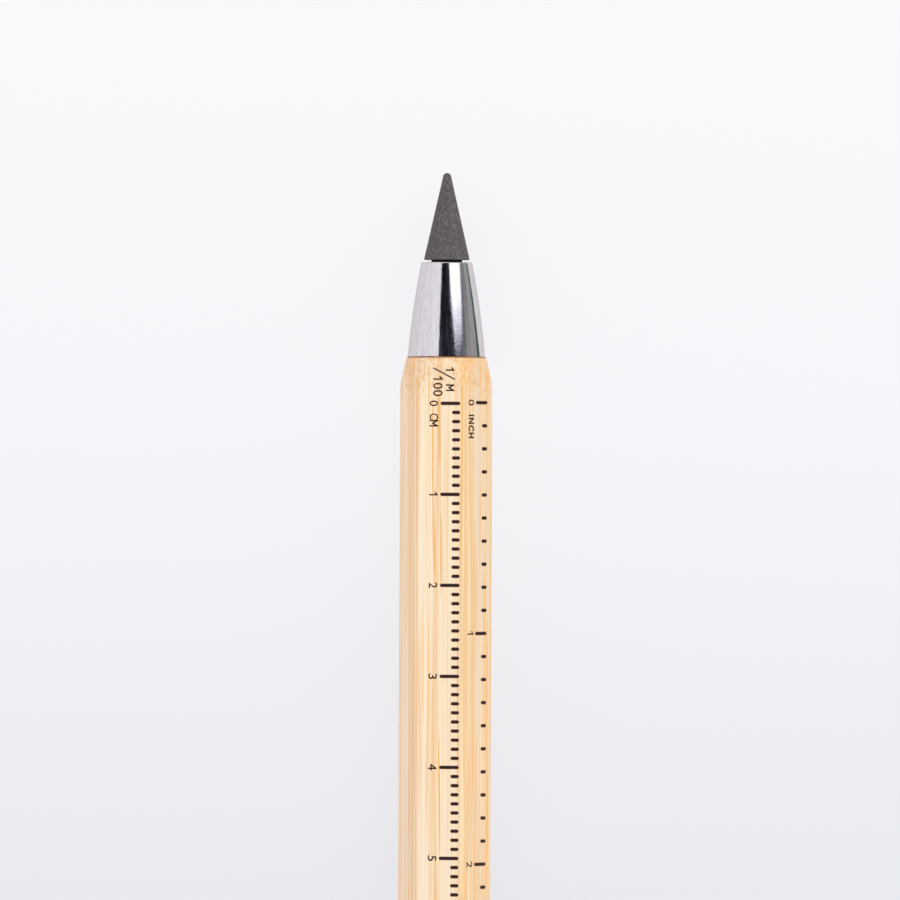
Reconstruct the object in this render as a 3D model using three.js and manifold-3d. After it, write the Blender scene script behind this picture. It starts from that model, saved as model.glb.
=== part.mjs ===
// Inkless tool pencil: a hexagonal bamboo barrel with a screw-in metal-alloy writing tip in a polished nose
// cone at the front, and a spirit level, a pocket clip and a stylus cap over a two-ended driver bit behind.
// Millimetres. Every piece is drawn about the pencil's own axis, +Y, with the writing point at the origin.
// The finished group lies on one flat of the barrel: the point looks along -X and +Z is up.
import * as THREE from "three";
import { mergeVertices } from "three/addons/utils/BufferGeometryUtils.js";
import Module from "manifold-3d";

// Clearances
const fitGap = 0.03; // all round a glued or pressed joint
const slideGap = 0.05; // all round a joint that moves
const endGap = 0.1; // between the ends of stacked pieces

// Facets
const roundSteps = 48; // flats that stand for a full circle on the pieces that show
const innerSteps = 32; // and on the pieces inside
const outlineSteps = 8; // chords along a bulged outline or a bend
const arcSteps = 8; // chords for each quarter of a round window, track or clip end
const cornerSteps = 4; // chords round a corner of the hexagon and along a shoulder
const edgeSteps = 3; // chords round a small edge
const pointSteps = 5; // chords round the writing point
const wallSteps = 6; // chords along the vial's barrelled bore
const ringSteps = 8; // chords round the O-ring's section
const domeSteps = 7; // chords over the outside of the stylus
const domeInnerSteps = 5; // and over its inside
const bubbleColumns = 20;
const bubbleRows = 12;

// Writing tip
const tipLength = 9.6;
const tipBaseRadius = 2.55;
const tipPointRadius = 0.45;
const tipEdgeBreak = 0.08;
const tipSocketDepth = 4.2;
const studRadius = 1.25; // an M2.5 stud
const studGrip = 4.5; // thread inside the holder, ten turns of 0.45 mm
const studChamfer = 0.3;
const washerThickness = 0.25;
const washerRadius = 1.7;

// Nose cone and the threaded holder inside it
const noseLength = 10.45;
const noseFrontRadius = 2.8;
const noseRearRadius = 4.27;
const noseBulge = 0.14;
const rimRound = 0.2;
const spigotRadius = 3.2;
const spigotLength = 9;
const spigotChamfer = 0.4;
const holderRadius = 2;
const holderFrontLength = 5;
const holderFlangeStep = 0.35;
const holderFlangeRadius = holderRadius + holderFlangeStep;
const holderFlangeLength = 3;

// Bamboo barrel
const acrossFlats = 9;
const edgeRadius = 0.5;
const barrelLength = 102;
const shoulderLength = 3.9; // turned on each end of the hexagon
const shoulderEndRadius = 4.35;
const shoulderBulge = 0.06;
const rearBoreRadius = 3.03;

// Spirit level, in the rear bore behind a window in the top flat
const vialRadius = rearBoreRadius - fitGap - slideGap;
const vialLength = 15;
const vialWall = 0.75;
const vialBarrelling = 0.1; // the bore is this much wider at mid length, so the bubble centres itself
const plugLength = 1.2;
const windowMargin = 1.5; // from each end of the vial to the window
const windowLength = vialLength - 2 * windowMargin;
const windowWidth = 4;
const bubbleLength = 3.6;
const bubbleWidth = 2;
const bubbleHeight = 1;
const bubbleTravel = 2.5; // each way
const bubbleRoom = 0.12; // between the bubble and the liquid's track
const bubbleAxisHeight = vialRadius - vialWall - vialBarrelling - bubbleHeight / 2 - slideGap;
const cushionLength = 1.2;

// Two-ended driver bit
const bitAcrossFlats = 4;
const bitHexLength = 14;
const bitShankRadius = 1.75;
const bitShankLength = 2.6;
const bitShankTaper = 0.8;
const bitTipLength = 2.6;
const crossPointRadius = 0.5;
const crossFluteStart = 0.36; // from the axis to a flute's floor, at the point
const crossFluteAngle = 0.24; // radians, at which the flutes run out
const bladeThickness = 0.6;
const bladeLength = 0.9; // with parallel sides
const bladeTaper = 3; // from the blade back to the round shank
const bitEndRoom = 0.7; // between the bit's point and the cap's end wall

// Rear insert, with the hexagonal socket for the driver bit
const socketAcrossFlats = bitAcrossFlats + 2 * slideGap;
const magnetLength = 2;
const magnetRadius = bitAcrossFlats / 2 - slideGap;
const insertRadius = rearBoreRadius - fitGap;
const insertFloor = 1.6;
const insertChamfer = 0.3;
const ringGrooveWall = 0.43; // left between the socket's corners and the O-ring's groove
const ringGrooveDepth = 0.5;
const ringGrooveWidth = 0.9;
const ringGrooveAt = 2.4; // from the flange to the middle of the groove
const capSpigotRadius = socketAcrossFlats / Math.sqrt(3) + ringGrooveWall + ringGrooveDepth;
const capSpigotLength = 5;
const insertFlangeStep = 0.35;
const insertFlangeRadius = capSpigotRadius + insertFlangeStep;
const insertFlangeLength = 0.8;

// Collar, pocket clip, cap and stylus
const collarRadius = 4.27;
const collarLength = 5;
const collarChamfer = 0.2;
const clipThickness = 0.6;
const clipRootWidth = 3.8;
const clipFreeWidth = 3.2;
const clipReach = 34; // from the leg to where the clip touches the barrel
const clipHeight = 2.7; // from the flat to the middle of the strap
const clipDrop = 0.5; // the strap's slope towards the barrel over its straight run
const clipBend = 1;
const clipDipLength = 4.5;
const clipLipLength = 2.6;
const clipLipRise = 1;
const clipLegDepth = 0.85; // of the leg in the collar's slot
const clipPlay = 0.1; // round the leg, so that the clip can rock open
const capPartingGap = 0.15;
const capLength = 17.5;
const domeNeckRadius = 2.7;
const domeOverhang = 0.3; // of the dome past its neck
const domeRadius = domeNeckRadius + domeOverhang;
const capEndRound = 0.3;
const capEndLand = 0.17; // flat left between the dome's recess and the rounded edge
const capEndRadius = domeNeckRadius + fitGap + capEndLand + capEndRound;
const capBulge = 0.25;
const capEndWall = 1;
const capRecessDepth = 1.2;
const capBitRoom = 0.2; // between the bit's corners and the cap
const domeWall = 0.8;
const domeLip = 0.6;
const domeHeight = 3.8;
const coreStemRadius = 1.2;
const coreHeadLength = 0.8;

// Stations along the axis, from the writing point to the stylus
const noseFront = tipLength + washerThickness;
const barrelFront = noseFront + noseLength;
const barrelRear = barrelFront + barrelLength;
const collarRear = barrelRear + collarLength;
const capFront = collarRear + capPartingGap;
const capRear = capFront + capLength;
const overallLength = capRear + domeHeight;
const socketRear = collarRear + capSpigotLength;
const bitLength = bitHexLength + 2 * (bitShankTaper + bitShankLength + bitTipLength);
const bitRear = capRear - capRecessDepth - capEndWall - bitEndRoom;
const bitFront = bitRear - bitLength;
const magnetFront = bitFront - endGap - magnetLength;
const insertFront = magnetFront - endGap - insertFloor;
const cushionFront = insertFront - endGap - cushionLength;
const vialFront = cushionFront - endGap - vialLength;
const rearBoreFront = vialFront - endGap;
const vialMiddle = vialFront + vialLength / 2;
const clipLegAt = barrelRear + collarLength / 2;
const clipFace = Math.PI / 3; // turns the clip from the top flat to the next one
const flatHeight = acrossFlats / 2;

const kernel = await Module();
kernel.setup();

// A closed geometry as a solid that can be cut and joined.
function solidOf(geometry) {
  const bare = geometry.clone();
  bare.deleteAttribute("normal");
  bare.deleteAttribute("uv");
  const merged = mergeVertices(bare, 1e-5);
  return new kernel.Manifold(
    new kernel.Mesh({
      numProp: 3,
      vertProperties: merged.attributes.position.array,
      triVerts: new Uint32Array(merged.index.array),
    }),
  );
}

// A solid as a geometry with flat shading.
function geometryOf(solid) {
  const mesh = solid.getMesh();
  const geometry = new THREE.BufferGeometry();
  geometry.setAttribute("position", new THREE.BufferAttribute(mesh.vertProperties, 3));
  geometry.setIndex(new THREE.BufferAttribute(mesh.triVerts, 1));
  const flat = geometry.toNonIndexed();
  flat.computeVertexNormals();
  return flat;
}

// Points of a shallow parabola from one [radius, along] point to another, bulging out by the sagitta given.
function bulgedLine(from, to, sagitta, steps) {
  const chord = Math.hypot(to[0] - from[0], to[1] - from[1]);
  const outward = [(to[1] - from[1]) / chord, (from[0] - to[0]) / chord];
  return Array.from({ length: steps + 1 }, (_, i) => {
    const t = i / steps;
    const lift = 4 * sagitta * t * (1 - t);
    return [
      from[0] + (to[0] - from[0]) * t + outward[0] * lift,
      from[1] + (to[1] - from[1]) * t + outward[1] * lift,
    ];
  });
}

// Points of an arc about a centre, angles measured from outwards towards the rear.
function arcPoints(centre, radius, start, end, steps) {
  return Array.from({ length: steps + 1 }, (_, i) => {
    const angle = start + ((end - start) * i) / steps;
    return [centre[0] + radius * Math.cos(angle), centre[1] + radius * Math.sin(angle)];
  });
}

// Turns a [radius, along] profile about the axis. It starts and ends on the axis, or closes on itself.
function turned(profile, steps = roundSteps) {
  const area = profile.reduce((sum, [r, y], i) => {
    const [nextR, nextY] = profile[(i + 1) % profile.length];
    return sum + r * nextY - nextR * y;
  }, 0);
  const ordered = area > 0 ? profile : [...profile].reverse();
  const onAxis = ordered[0][0] === 0 && ordered[ordered.length - 1][0] === 0;
  const closed = onAxis ? ordered : [...ordered, ordered[0]];
  return solidOf(new THREE.LatheGeometry(closed.map(([r, y]) => new THREE.Vector2(r, y)), steps));
}

// A plain cylinder along the axis.
function rod(radius, from, to, steps = roundSteps) {
  return turned([[0, from], [radius, from], [radius, to], [0, to]], steps);
}

// A hexagon with rounded corners, with a flat on top.
function hexagon(flats, corner) {
  const shape = new THREE.Shape();
  const toCentre = flats / Math.sqrt(3) - (2 * corner) / Math.sqrt(3);
  for (let i = 0; i < 6; i++) {
    const angle = (i * Math.PI) / 3;
    const x = toCentre * Math.cos(angle);
    const y = toCentre * Math.sin(angle);
    if (corner > 0) shape.absarc(x, y, corner, angle - Math.PI / 6, angle + Math.PI / 6, false);
    else if (i === 0) shape.moveTo(x, y);
    else shape.lineTo(x, y);
  }
  return shape;
}

// An outline pushed along the axis.
function pushed(shape, from, to, curveSegments = cornerSteps) {
  const geometry = new THREE.ExtrudeGeometry(shape, { depth: to - from, bevelEnabled: false, curveSegments });
  geometry.rotateX(-Math.PI / 2).translate(0, from, 0);
  return solidOf(geometry);
}

// A box given by its lowest and highest corners.
function block(low, high) {
  const size = high.map((value, i) => value - low[i]);
  const geometry = new THREE.BoxGeometry(...size);
  geometry.translate(...low.map((value, i) => value + size[i] / 2));
  return solidOf(geometry);
}

function writingTip() {
  const reach = Math.hypot(tipBaseRadius, tipLength - tipPointRadius);
  const taper = Math.atan2(tipBaseRadius, tipLength - tipPointRadius) - Math.asin(tipPointRadius / reach);
  const point = arcPoints([0, tipPointRadius], tipPointRadius, -Math.PI / 2, -taper, pointSteps);
  point[0][0] = 0;
  const boreRadius = studRadius + fitGap;
  const socketFront = tipLength - tipSocketDepth;
  return turned([
    ...point,
    [tipBaseRadius - tipEdgeBreak * Math.tan(taper), tipLength - tipEdgeBreak],
    [tipBaseRadius - tipEdgeBreak, tipLength],
    [boreRadius, tipLength],
    [boreRadius, socketFront],
    [0, socketFront],
  ]);
}

function tipStud() {
  const front = tipLength - tipSocketDepth + endGap;
  const rear = noseFront + studGrip;
  return turned([
    [0, front],
    [studRadius - studChamfer, front],
    [studRadius, front + studChamfer],
    [studRadius, rear - studChamfer],
    [studRadius - studChamfer, rear],
    [0, rear],
  ], innerSteps);
}

function tipWasher() {
  const inner = studRadius + slideGap;
  return turned([
    [inner, tipLength],
    [washerRadius, tipLength],
    [washerRadius, noseFront],
    [inner, noseFront],
  ], innerSteps);
}

function noseCone() {
  const rimRear = noseFront + rimRound;
  const rimTop = arcPoints([noseFrontRadius - rimRound, rimRear], rimRound, -Math.PI / 2, 0, edgeSteps);
  const flankFront = [noseFrontRadius, rimRear];
  const flank = bulgedLine(flankFront, [noseRearRadius, barrelFront], noseBulge, outlineSteps);
  const spigotRear = barrelFront + spigotLength;
  const frontBore = holderRadius + fitGap;
  const rearBore = holderFlangeRadius + fitGap;
  const step = noseFront + slideGap + holderFrontLength - fitGap;
  return turned([
    [frontBore, noseFront],
    ...rimTop,
    ...flank.slice(1),
    [spigotRadius, barrelFront],
    [spigotRadius, spigotRear - spigotChamfer],
    [spigotRadius - spigotChamfer, spigotRear],
    [rearBore, spigotRear],
    [rearBore, step],
    [frontBore, step],
  ]);
}

// The holder goes in from behind, up to the step in the nose cone, and its thread takes the stud.
function tipHolder() {
  const front = noseFront + slideGap;
  const flangeFront = front + holderFrontLength;
  const rear = flangeFront + holderFlangeLength;
  const bore = studRadius + slideGap;
  return turned([
    [bore, front],
    [holderRadius, front],
    [holderRadius, flangeFront],
    [holderFlangeRadius, flangeFront],
    [holderFlangeRadius, rear],
    [bore, rear],
  ], innerSteps);
}

// A hexagonal bar whose ends are turned down to the nose and the collar, bored from both ends.
function barrel() {
  const beyond = acrossFlats;
  const full = pushed(hexagon(acrossFlats, edgeRadius), barrelFront, barrelRear);
  const cornerRadius = acrossFlats / Math.sqrt(3);
  const frontEnd = [shoulderEndRadius, barrelFront];
  const rearEnd = [shoulderEndRadius, barrelRear];
  const shoulders = turned([
    [0, barrelFront],
    ...bulgedLine(frontEnd, [cornerRadius, barrelFront + shoulderLength], shoulderBulge, cornerSteps),
    ...bulgedLine([cornerRadius, barrelRear - shoulderLength], rearEnd, shoulderBulge, cornerSteps),
    [0, barrelRear],
  ]);
  const frontBore = rod(spigotRadius + fitGap, barrelFront - beyond, barrelFront + spigotLength + endGap);
  const rearBore = rod(rearBoreRadius, rearBoreFront, barrelRear + beyond);
  return full.intersect(shoulders).subtract(frontBore).subtract(rearBore).subtract(levelWindow());
}

// The slot with round ends that shows the level, cut down from the top flat to the bore.
function levelWindow() {
  const half = windowWidth / 2;
  const straight = windowLength / 2 - half;
  const shape = new THREE.Shape();
  shape.absarc(0, vialMiddle + straight, half, 0, Math.PI, false);
  shape.absarc(0, vialMiddle - straight, half, Math.PI, 2 * Math.PI, false);
  const settings = { depth: acrossFlats, bevelEnabled: false, curveSegments: arcSteps };
  return solidOf(new THREE.ExtrudeGeometry(shape, settings));
}

// The level's inner wall from its closed front to its open rear, smaller all round by the gap given.
function vialBore(gap) {
  const middle = vialRadius - vialWall;
  const end = middle - vialBarrelling;
  const front = vialFront + vialWall + gap;
  const rear = vialFront + vialLength - plugLength - gap;
  return bulgedLine([end - gap, front], [end - gap, rear], vialBarrelling, wallSteps);
}

function levelVial() {
  const rear = vialFront + vialLength;
  const mouth = vialRadius - vialWall - vialBarrelling;
  return turned([
    [0, vialFront],
    [vialRadius, vialFront],
    [vialRadius, rear],
    [mouth, rear],
    ...vialBore(0).reverse(),
    [0, vialFront + vialWall],
  ]);
}

function levelPlug() {
  const rear = vialFront + vialLength;
  return rod(vialRadius - vialWall - vialBarrelling - fitGap, rear - plugLength, rear, innerSteps);
}

// The liquid fills the bore but for the track along the top that the bubble runs in.
function levelLiquid() {
  const wall = vialBore(fitGap);
  const fill = turned([[0, wall[0][1]], ...wall, [0, wall[wall.length - 1][1]]], innerSteps);
  const track = new THREE.Shape();
  const halfWidth = bubbleWidth / 2 + bubbleRoom;
  track.absellipse(0, -bubbleAxisHeight, halfWidth, bubbleHeight / 2 + 2 * bubbleRoom, 0, 2 * Math.PI);
  const reach = bubbleTravel + bubbleLength / 2 + bubbleRoom;
  return fill.subtract(pushed(track, vialMiddle - reach, vialMiddle + reach, arcSteps));
}

function levelBubble() {
  const ball = new THREE.SphereGeometry(0.5, bubbleColumns, bubbleRows);
  ball.scale(bubbleWidth, bubbleLength, bubbleHeight).translate(0, vialMiddle, bubbleAxisHeight);
  return solidOf(ball);
}

function vialCushion() {
  return rod(vialRadius, cushionFront, cushionFront + cushionLength, innerSteps);
}

// Glued in the barrel, the insert holds the bit in its socket, the collar under its flange and the cap
// on top.
function rearInsert() {
  const flangeFront = collarRear - insertFlangeLength;
  const groove = collarRear + ringGrooveAt;
  const grooveRadius = capSpigotRadius - ringGrooveDepth;
  const half = ringGrooveWidth / 2;
  const body = turned([
    [0, insertFront],
    [insertRadius - insertChamfer, insertFront],
    [insertRadius, insertFront + insertChamfer],
    [insertRadius, flangeFront],
    [insertFlangeRadius, flangeFront],
    [insertFlangeRadius, collarRear],
    [capSpigotRadius, collarRear],
    [capSpigotRadius, groove - half],
    [grooveRadius, groove - half],
    [grooveRadius, groove + half],
    [capSpigotRadius, groove + half],
    [capSpigotRadius, socketRear - insertChamfer],
    [capSpigotRadius - insertChamfer, socketRear],
    [0, socketRear],
  ], innerSteps);
  return body.subtract(pushed(hexagon(socketAcrossFlats, 0), magnetFront - endGap, socketRear + endGap));
}

function bitMagnet() {
  return rod(magnetRadius, magnetFront, magnetFront + magnetLength, innerSteps);
}

// A hexagonal bar turned down to round shanks, with a cross point behind and a blade in front.
function driverBit() {
  const cornerRadius = bitAcrossFlats / Math.sqrt(3);
  const hexFront = bitFront + bitTipLength + bitShankLength + bitShankTaper;
  const hexRear = hexFront + bitHexLength;
  const outline = turned([
    [0, bitFront],
    [bitShankRadius, bitFront],
    [bitShankRadius, hexFront - bitShankTaper],
    [cornerRadius, hexFront],
    [cornerRadius, hexRear],
    [bitShankRadius, hexRear + bitShankTaper],
    [bitShankRadius, bitRear - bitTipLength],
    [crossPointRadius, bitRear],
    [0, bitRear],
  ]);
  const bar = pushed(hexagon(bitAcrossFlats, 0), bitFront, bitRear);
  return outline.intersect(bar).subtract(crossFlutes()).subtract(bladeFlats());
}

// The four flutes of the cross point. Each is a square bar with one edge towards the axis.
function crossFlutes() {
  const side = 4 * bitShankRadius;
  const cuts = [];
  for (let i = 0; i < 4; i++) {
    const bar = new THREE.BoxGeometry(side, 4 * bitTipLength, side);
    bar.rotateY(Math.PI / 4).translate(side / Math.SQRT2 + crossFluteStart, 0, 0);
    bar.rotateZ(crossFluteAngle).translate(0, bitRear, 0);
    bar.rotateY((i * Math.PI) / 2);
    cuts.push(solidOf(bar));
  }
  return kernel.Manifold.union(cuts);
}

// The two flats that leave the slotted end's blade between them.
function bladeFlats() {
  const full = 2 * bitShankRadius;
  const half = bladeThickness / 2;
  const wedge = new THREE.Shape();
  wedge.moveTo(half, bitFront - endGap);
  wedge.lineTo(half, bitFront + bladeLength);
  wedge.lineTo(bitShankRadius + endGap, bitFront + bladeLength + bladeTaper);
  wedge.lineTo(full, bitFront - endGap);
  const geometry = new THREE.ExtrudeGeometry(wedge, { depth: 2 * full, bevelEnabled: false });
  geometry.translate(0, 0, -full);
  const cut = solidOf(geometry);
  return cut.add(cut.rotate([0, 180, 0]));
}

// The slot in the collar for the clip's leg. Like the clip, it is drawn over the top flat and turned
// afterwards.
function clipSlot() {
  const halfWidth = clipRootWidth / 2 + clipPlay;
  const halfLength = clipThickness / 2 + clipPlay;
  const floor = collarRadius - clipLegDepth - clipPlay;
  const low = [-halfWidth, clipLegAt - halfLength, floor];
  return block(low, [halfWidth, clipLegAt + halfLength, 2 * collarRadius]);
}

function rearCollar() {
  const bore = insertRadius + fitGap;
  const counterbore = insertFlangeRadius + fitGap;
  const counterboreFront = collarRear - insertFlangeLength - fitGap;
  const ring = turned([
    [bore, barrelRear],
    [collarRadius - collarChamfer, barrelRear],
    [collarRadius, barrelRear + collarChamfer],
    [collarRadius, collarRear - collarChamfer],
    [collarRadius - collarChamfer, collarRear],
    [counterbore, collarRear],
    [counterbore, counterboreFront],
    [bore, counterboreFront],
  ]);
  return ring.subtract(clipSlot().rotate([0, THREE.MathUtils.radToDeg(clipFace), 0]));
}

// The clip's middle line, [along, height above the axis]: leg, bend, strap, dip to the barrel, lifted lip.
function clipLine() {
  const top = flatHeight + clipHeight;
  const touch = flatHeight + slideGap + clipThickness / 2;
  const touchAt = clipLegAt - clipReach;
  const dipAt = touchAt + clipDipLength;
  const dipTop = top - clipDrop;
  const halfDip = clipDipLength / 2;
  const path = new THREE.Path();
  path.moveTo(clipLegAt, collarRadius - clipLegDepth);
  path.lineTo(clipLegAt, top - clipBend);
  path.absarc(clipLegAt - clipBend, top - clipBend, clipBend, 0, Math.PI / 2, false);
  path.lineTo(dipAt, dipTop);
  path.bezierCurveTo(dipAt - halfDip, dipTop, touchAt + halfDip, touch, touchAt, touch);
  path.quadraticCurveTo(touchAt - clipLipLength / 2, touch, touchAt - clipLipLength, touch + clipLipRise);
  return path.getPoints(outlineSteps);
}

// A strip of even thickness along a line, as an outline.
function strip(line, thickness) {
  const sides = [1, -1].map((side) =>
    line.map((point, i) => {
      const along = line[Math.min(i + 1, line.length - 1)].clone().sub(line[Math.max(i - 1, 0)]).normalize();
      const offset = (side * thickness) / 2;
      return new THREE.Vector2(point.x - along.y * offset, point.y + along.x * offset);
    }),
  );
  return new THREE.Shape([...sides[0], ...sides[1].reverse()]);
}

// A sheet bent along the middle line, cut out to a plan that narrows to a round end.
function pocketClip() {
  const width = 2 * clipRootWidth;
  const across = { depth: width, bevelEnabled: false };
  const sheet = new THREE.ExtrudeGeometry(strip(clipLine(), clipThickness), across);
  const sideways = new THREE.Matrix4().makeBasis(
    new THREE.Vector3(0, 1, 0),
    new THREE.Vector3(0, 0, 1),
    new THREE.Vector3(1, 0, 0),
  );
  sheet.applyMatrix4(sideways).translate(-width / 2, 0, 0);
  const rootHalf = clipRootWidth / 2;
  const freeHalf = clipFreeWidth / 2;
  const rear = clipLegAt + clipThickness;
  const front = clipLegAt - clipReach - clipLipLength + freeHalf;
  const plan = new THREE.Shape();
  plan.moveTo(rootHalf, rear);
  plan.lineTo(-rootHalf, rear);
  plan.lineTo(-freeHalf, front);
  plan.absarc(0, front, freeHalf, Math.PI, 2 * Math.PI, false);
  const through = { depth: 2 * acrossFlats, bevelEnabled: false, curveSegments: arcSteps };
  const blank = new THREE.ExtrudeGeometry(plan, through);
  return solidOf(sheet).intersect(solidOf(blank));
}

function capRing() {
  const bore = capSpigotRadius + slideGap - fitGap;
  const floor = capSpigotRadius - ringGrooveDepth + fitGap;
  const half = (bore - floor) / 2;
  const middle = collarRear + ringGrooveAt;
  return turned(arcPoints([floor + half, middle], half, 0, 2 * Math.PI, ringSteps).slice(0, -1), innerSteps);
}

// The cap pushes onto the spigot, clears the bit inside and holds the stylus in a recess in its end.
function endCap() {
  const bitRoom = bitAcrossFlats / Math.sqrt(3) + capBitRoom;
  const mouth = capSpigotRadius + slideGap;
  const mouthRear = socketRear + endGap;
  const wallFront = capRear - capRecessDepth - capEndWall;
  const recessFront = capRear - capRecessDepth;
  const stem = coreStemRadius + fitGap;
  const recess = domeNeckRadius + fitGap;
  const lipCentre = [capEndRadius - capEndRound, capRear - capEndRound];
  const mouthEdge = capFront + collarChamfer;
  return turned([
    [mouth, capFront],
    [collarRadius - collarChamfer, capFront],
    ...bulgedLine([collarRadius, mouthEdge], [capEndRadius, lipCentre[1]], capBulge, outlineSteps),
    ...arcPoints(lipCentre, capEndRound, 0, Math.PI / 2, edgeSteps).slice(1),
    [recess, capRear],
    [recess, recessFront],
    [stem, recessFront],
    [stem, wallFront],
    [bitRoom, wallFront],
    [bitRoom, mouthRear],
    [mouth, mouthRear],
  ]);
}

// A quarter of an ellipse from the cap's end face to the axis.
function halfDome(radius, height, steps) {
  const quarter = arcPoints([0, 0], 1, 0, Math.PI / 2, steps);
  const line = quarter.map(([x, y]) => [radius * x, capRear + height * y]);
  line[steps][0] = 0;
  return line;
}

// The rubber dome is a hollow cup whose inward lip the core clamps to the cap.
function stylusDome() {
  const seat = capRear - capRecessDepth;
  const outer = halfDome(domeRadius, domeHeight, domeSteps);
  const inner = halfDome(domeRadius - domeWall, domeHeight - domeWall, domeInnerSteps);
  const stem = coreStemRadius + fitGap;
  const neckInside = domeNeckRadius - domeWall;
  return turned([
    ...inner.reverse(),
    [neckInside, capRear],
    [neckInside, seat + domeLip],
    [stem, seat + domeLip],
    [stem, seat],
    [domeNeckRadius, seat],
    [domeNeckRadius, capRear],
    ...outer,
  ]);
}

function stylusCore() {
  const seat = capRear - capRecessDepth;
  const headFront = seat + domeLip + fitGap;
  const head = domeNeckRadius - domeWall - fitGap;
  return turned([
    [0, seat - capEndWall],
    [coreStemRadius, seat - capEndWall],
    [coreStemRadius, headFront],
    [head, headFront],
    [head, headFront + coreHeadLength],
    [0, headFront + coreHeadLength],
  ], innerSteps);
}

const alloy = new THREE.MeshStandardMaterial({ color: 0x4b4648, roughness: 0.55, metalness: 0.4 });
const steel = new THREE.MeshStandardMaterial({ color: 0xa9abad, roughness: 0.35, metalness: 1 });
const chrome = new THREE.MeshStandardMaterial({ color: 0xd9d9dc, roughness: 0.08, metalness: 1 });
const brass = new THREE.MeshStandardMaterial({ color: 0xc9a55a, roughness: 0.35, metalness: 1 });
const rubber = new THREE.MeshStandardMaterial({ color: 0x17171a, roughness: 0.8, metalness: 0 });
const silicone = new THREE.MeshStandardMaterial({ color: 0xd8d8d4, roughness: 0.7, metalness: 0 });
const bamboo = new THREE.MeshStandardMaterial({ color: 0xf4dcba, roughness: 0.6, metalness: 0 });
const acrylic = new THREE.MeshStandardMaterial({
  color: 0xe9f2e4,
  roughness: 0.05,
  metalness: 0,
  transparent: true,
  opacity: 0.35,
});
const dyedLiquid = new THREE.MeshStandardMaterial({
  color: 0xb7e03a,
  roughness: 0.05,
  metalness: 0,
  transparent: true,
  opacity: 0.7,
});
const air = new THREE.MeshStandardMaterial({
  color: 0xf3fbe0,
  roughness: 0.02,
  metalness: 0,
  transparent: true,
  opacity: 0.3,
});
const magnetPlate = new THREE.MeshStandardMaterial({ color: 0xb9b6ae, roughness: 0.25, metalness: 1 });

function piece(name, solid, material) {
  const mesh = new THREE.Mesh(geometryOf(solid), material);
  mesh.name = name;
  return mesh;
}

const clipGroup = new THREE.Group();
clipGroup.rotation.y = clipFace;
clipGroup.add(piece("pocket_clip", pocketClip(), chrome));

const pencil = new THREE.Group();
pencil.add(
  piece("writing_tip", writingTip(), alloy),
  piece("tip_stud", tipStud(), steel),
  piece("tip_washer", tipWasher(), rubber),
  piece("nose_cone", noseCone(), chrome),
  piece("tip_holder", tipHolder(), brass),
  piece("barrel", barrel(), bamboo),
  piece("level_vial", levelVial(), acrylic),
  piece("level_plug", levelPlug(), acrylic),
  piece("level_liquid", levelLiquid(), dyedLiquid),
  piece("level_bubble", levelBubble(), air),
  piece("vial_cushion", vialCushion(), silicone),
  piece("rear_insert", rearInsert(), brass),
  piece("bit_magnet", bitMagnet(), magnetPlate),
  piece("driver_bit", driverBit(), steel),
  piece("rear_collar", rearCollar(), chrome),
  clipGroup,
  piece("cap_ring", capRing(), rubber),
  piece("end_cap", endCap(), chrome),
  piece("stylus_core", stylusCore(), brass),
  piece("stylus_dome", stylusDome(), rubber),
);

// Lay the pencil down: its axis along X with the point at -X, resting on the flat under the level's window.
pencil.rotation.z = -Math.PI / 2;
pencil.position.set(-overallLength / 2, 0, flatHeight);
const model = new THREE.Group();
model.add(pencil);

export default model;
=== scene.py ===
# %% [markdown]
# # A bamboo tool pencil that needs no ink
#
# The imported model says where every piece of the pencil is. This notebook gives each piece that shows its
# fine shape and its finish, and builds a small photo studio round it. The pencil lies on one flat of its
# hexagonal barrel, its point looks along -X, and the camera hangs above it with the point at the top of the
# picture.

# %% Load the frame
import bmesh
import bpy
import numpy as np
from math import asin, atan2, comb, cos, hypot, pi, radians, sin, sqrt, tan
from mathutils import Matrix, Vector


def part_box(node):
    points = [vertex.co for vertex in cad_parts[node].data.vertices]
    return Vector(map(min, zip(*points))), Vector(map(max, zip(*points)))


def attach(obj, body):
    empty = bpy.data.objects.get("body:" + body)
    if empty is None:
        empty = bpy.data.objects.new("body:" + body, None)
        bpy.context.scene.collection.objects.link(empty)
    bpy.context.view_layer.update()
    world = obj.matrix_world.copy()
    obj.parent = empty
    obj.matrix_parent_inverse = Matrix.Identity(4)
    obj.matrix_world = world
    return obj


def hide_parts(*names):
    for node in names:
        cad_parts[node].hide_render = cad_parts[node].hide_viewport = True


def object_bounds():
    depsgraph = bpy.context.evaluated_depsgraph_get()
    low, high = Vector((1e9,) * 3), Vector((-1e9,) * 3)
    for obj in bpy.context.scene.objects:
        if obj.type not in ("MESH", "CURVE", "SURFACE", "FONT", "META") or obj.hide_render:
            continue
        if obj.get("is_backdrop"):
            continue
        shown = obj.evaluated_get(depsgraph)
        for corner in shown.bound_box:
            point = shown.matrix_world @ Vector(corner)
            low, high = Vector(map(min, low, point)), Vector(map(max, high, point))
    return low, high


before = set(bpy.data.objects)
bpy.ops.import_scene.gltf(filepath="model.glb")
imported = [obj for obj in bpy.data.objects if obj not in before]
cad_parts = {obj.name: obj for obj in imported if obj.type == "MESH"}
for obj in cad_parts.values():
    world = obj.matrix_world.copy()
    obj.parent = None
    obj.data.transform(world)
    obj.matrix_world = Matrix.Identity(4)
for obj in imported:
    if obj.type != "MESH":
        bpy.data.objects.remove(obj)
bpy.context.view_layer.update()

# %% [markdown]
# ## Sizes
#
# The shapes are drawn in millimetres about the pencil's own axis and put into the frame at the end. Where a
# piece starts and ends along that axis is read from the box of its node, so it always sits where the model
# says.

# %% Stations along the axis
mm = 0.001


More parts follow.
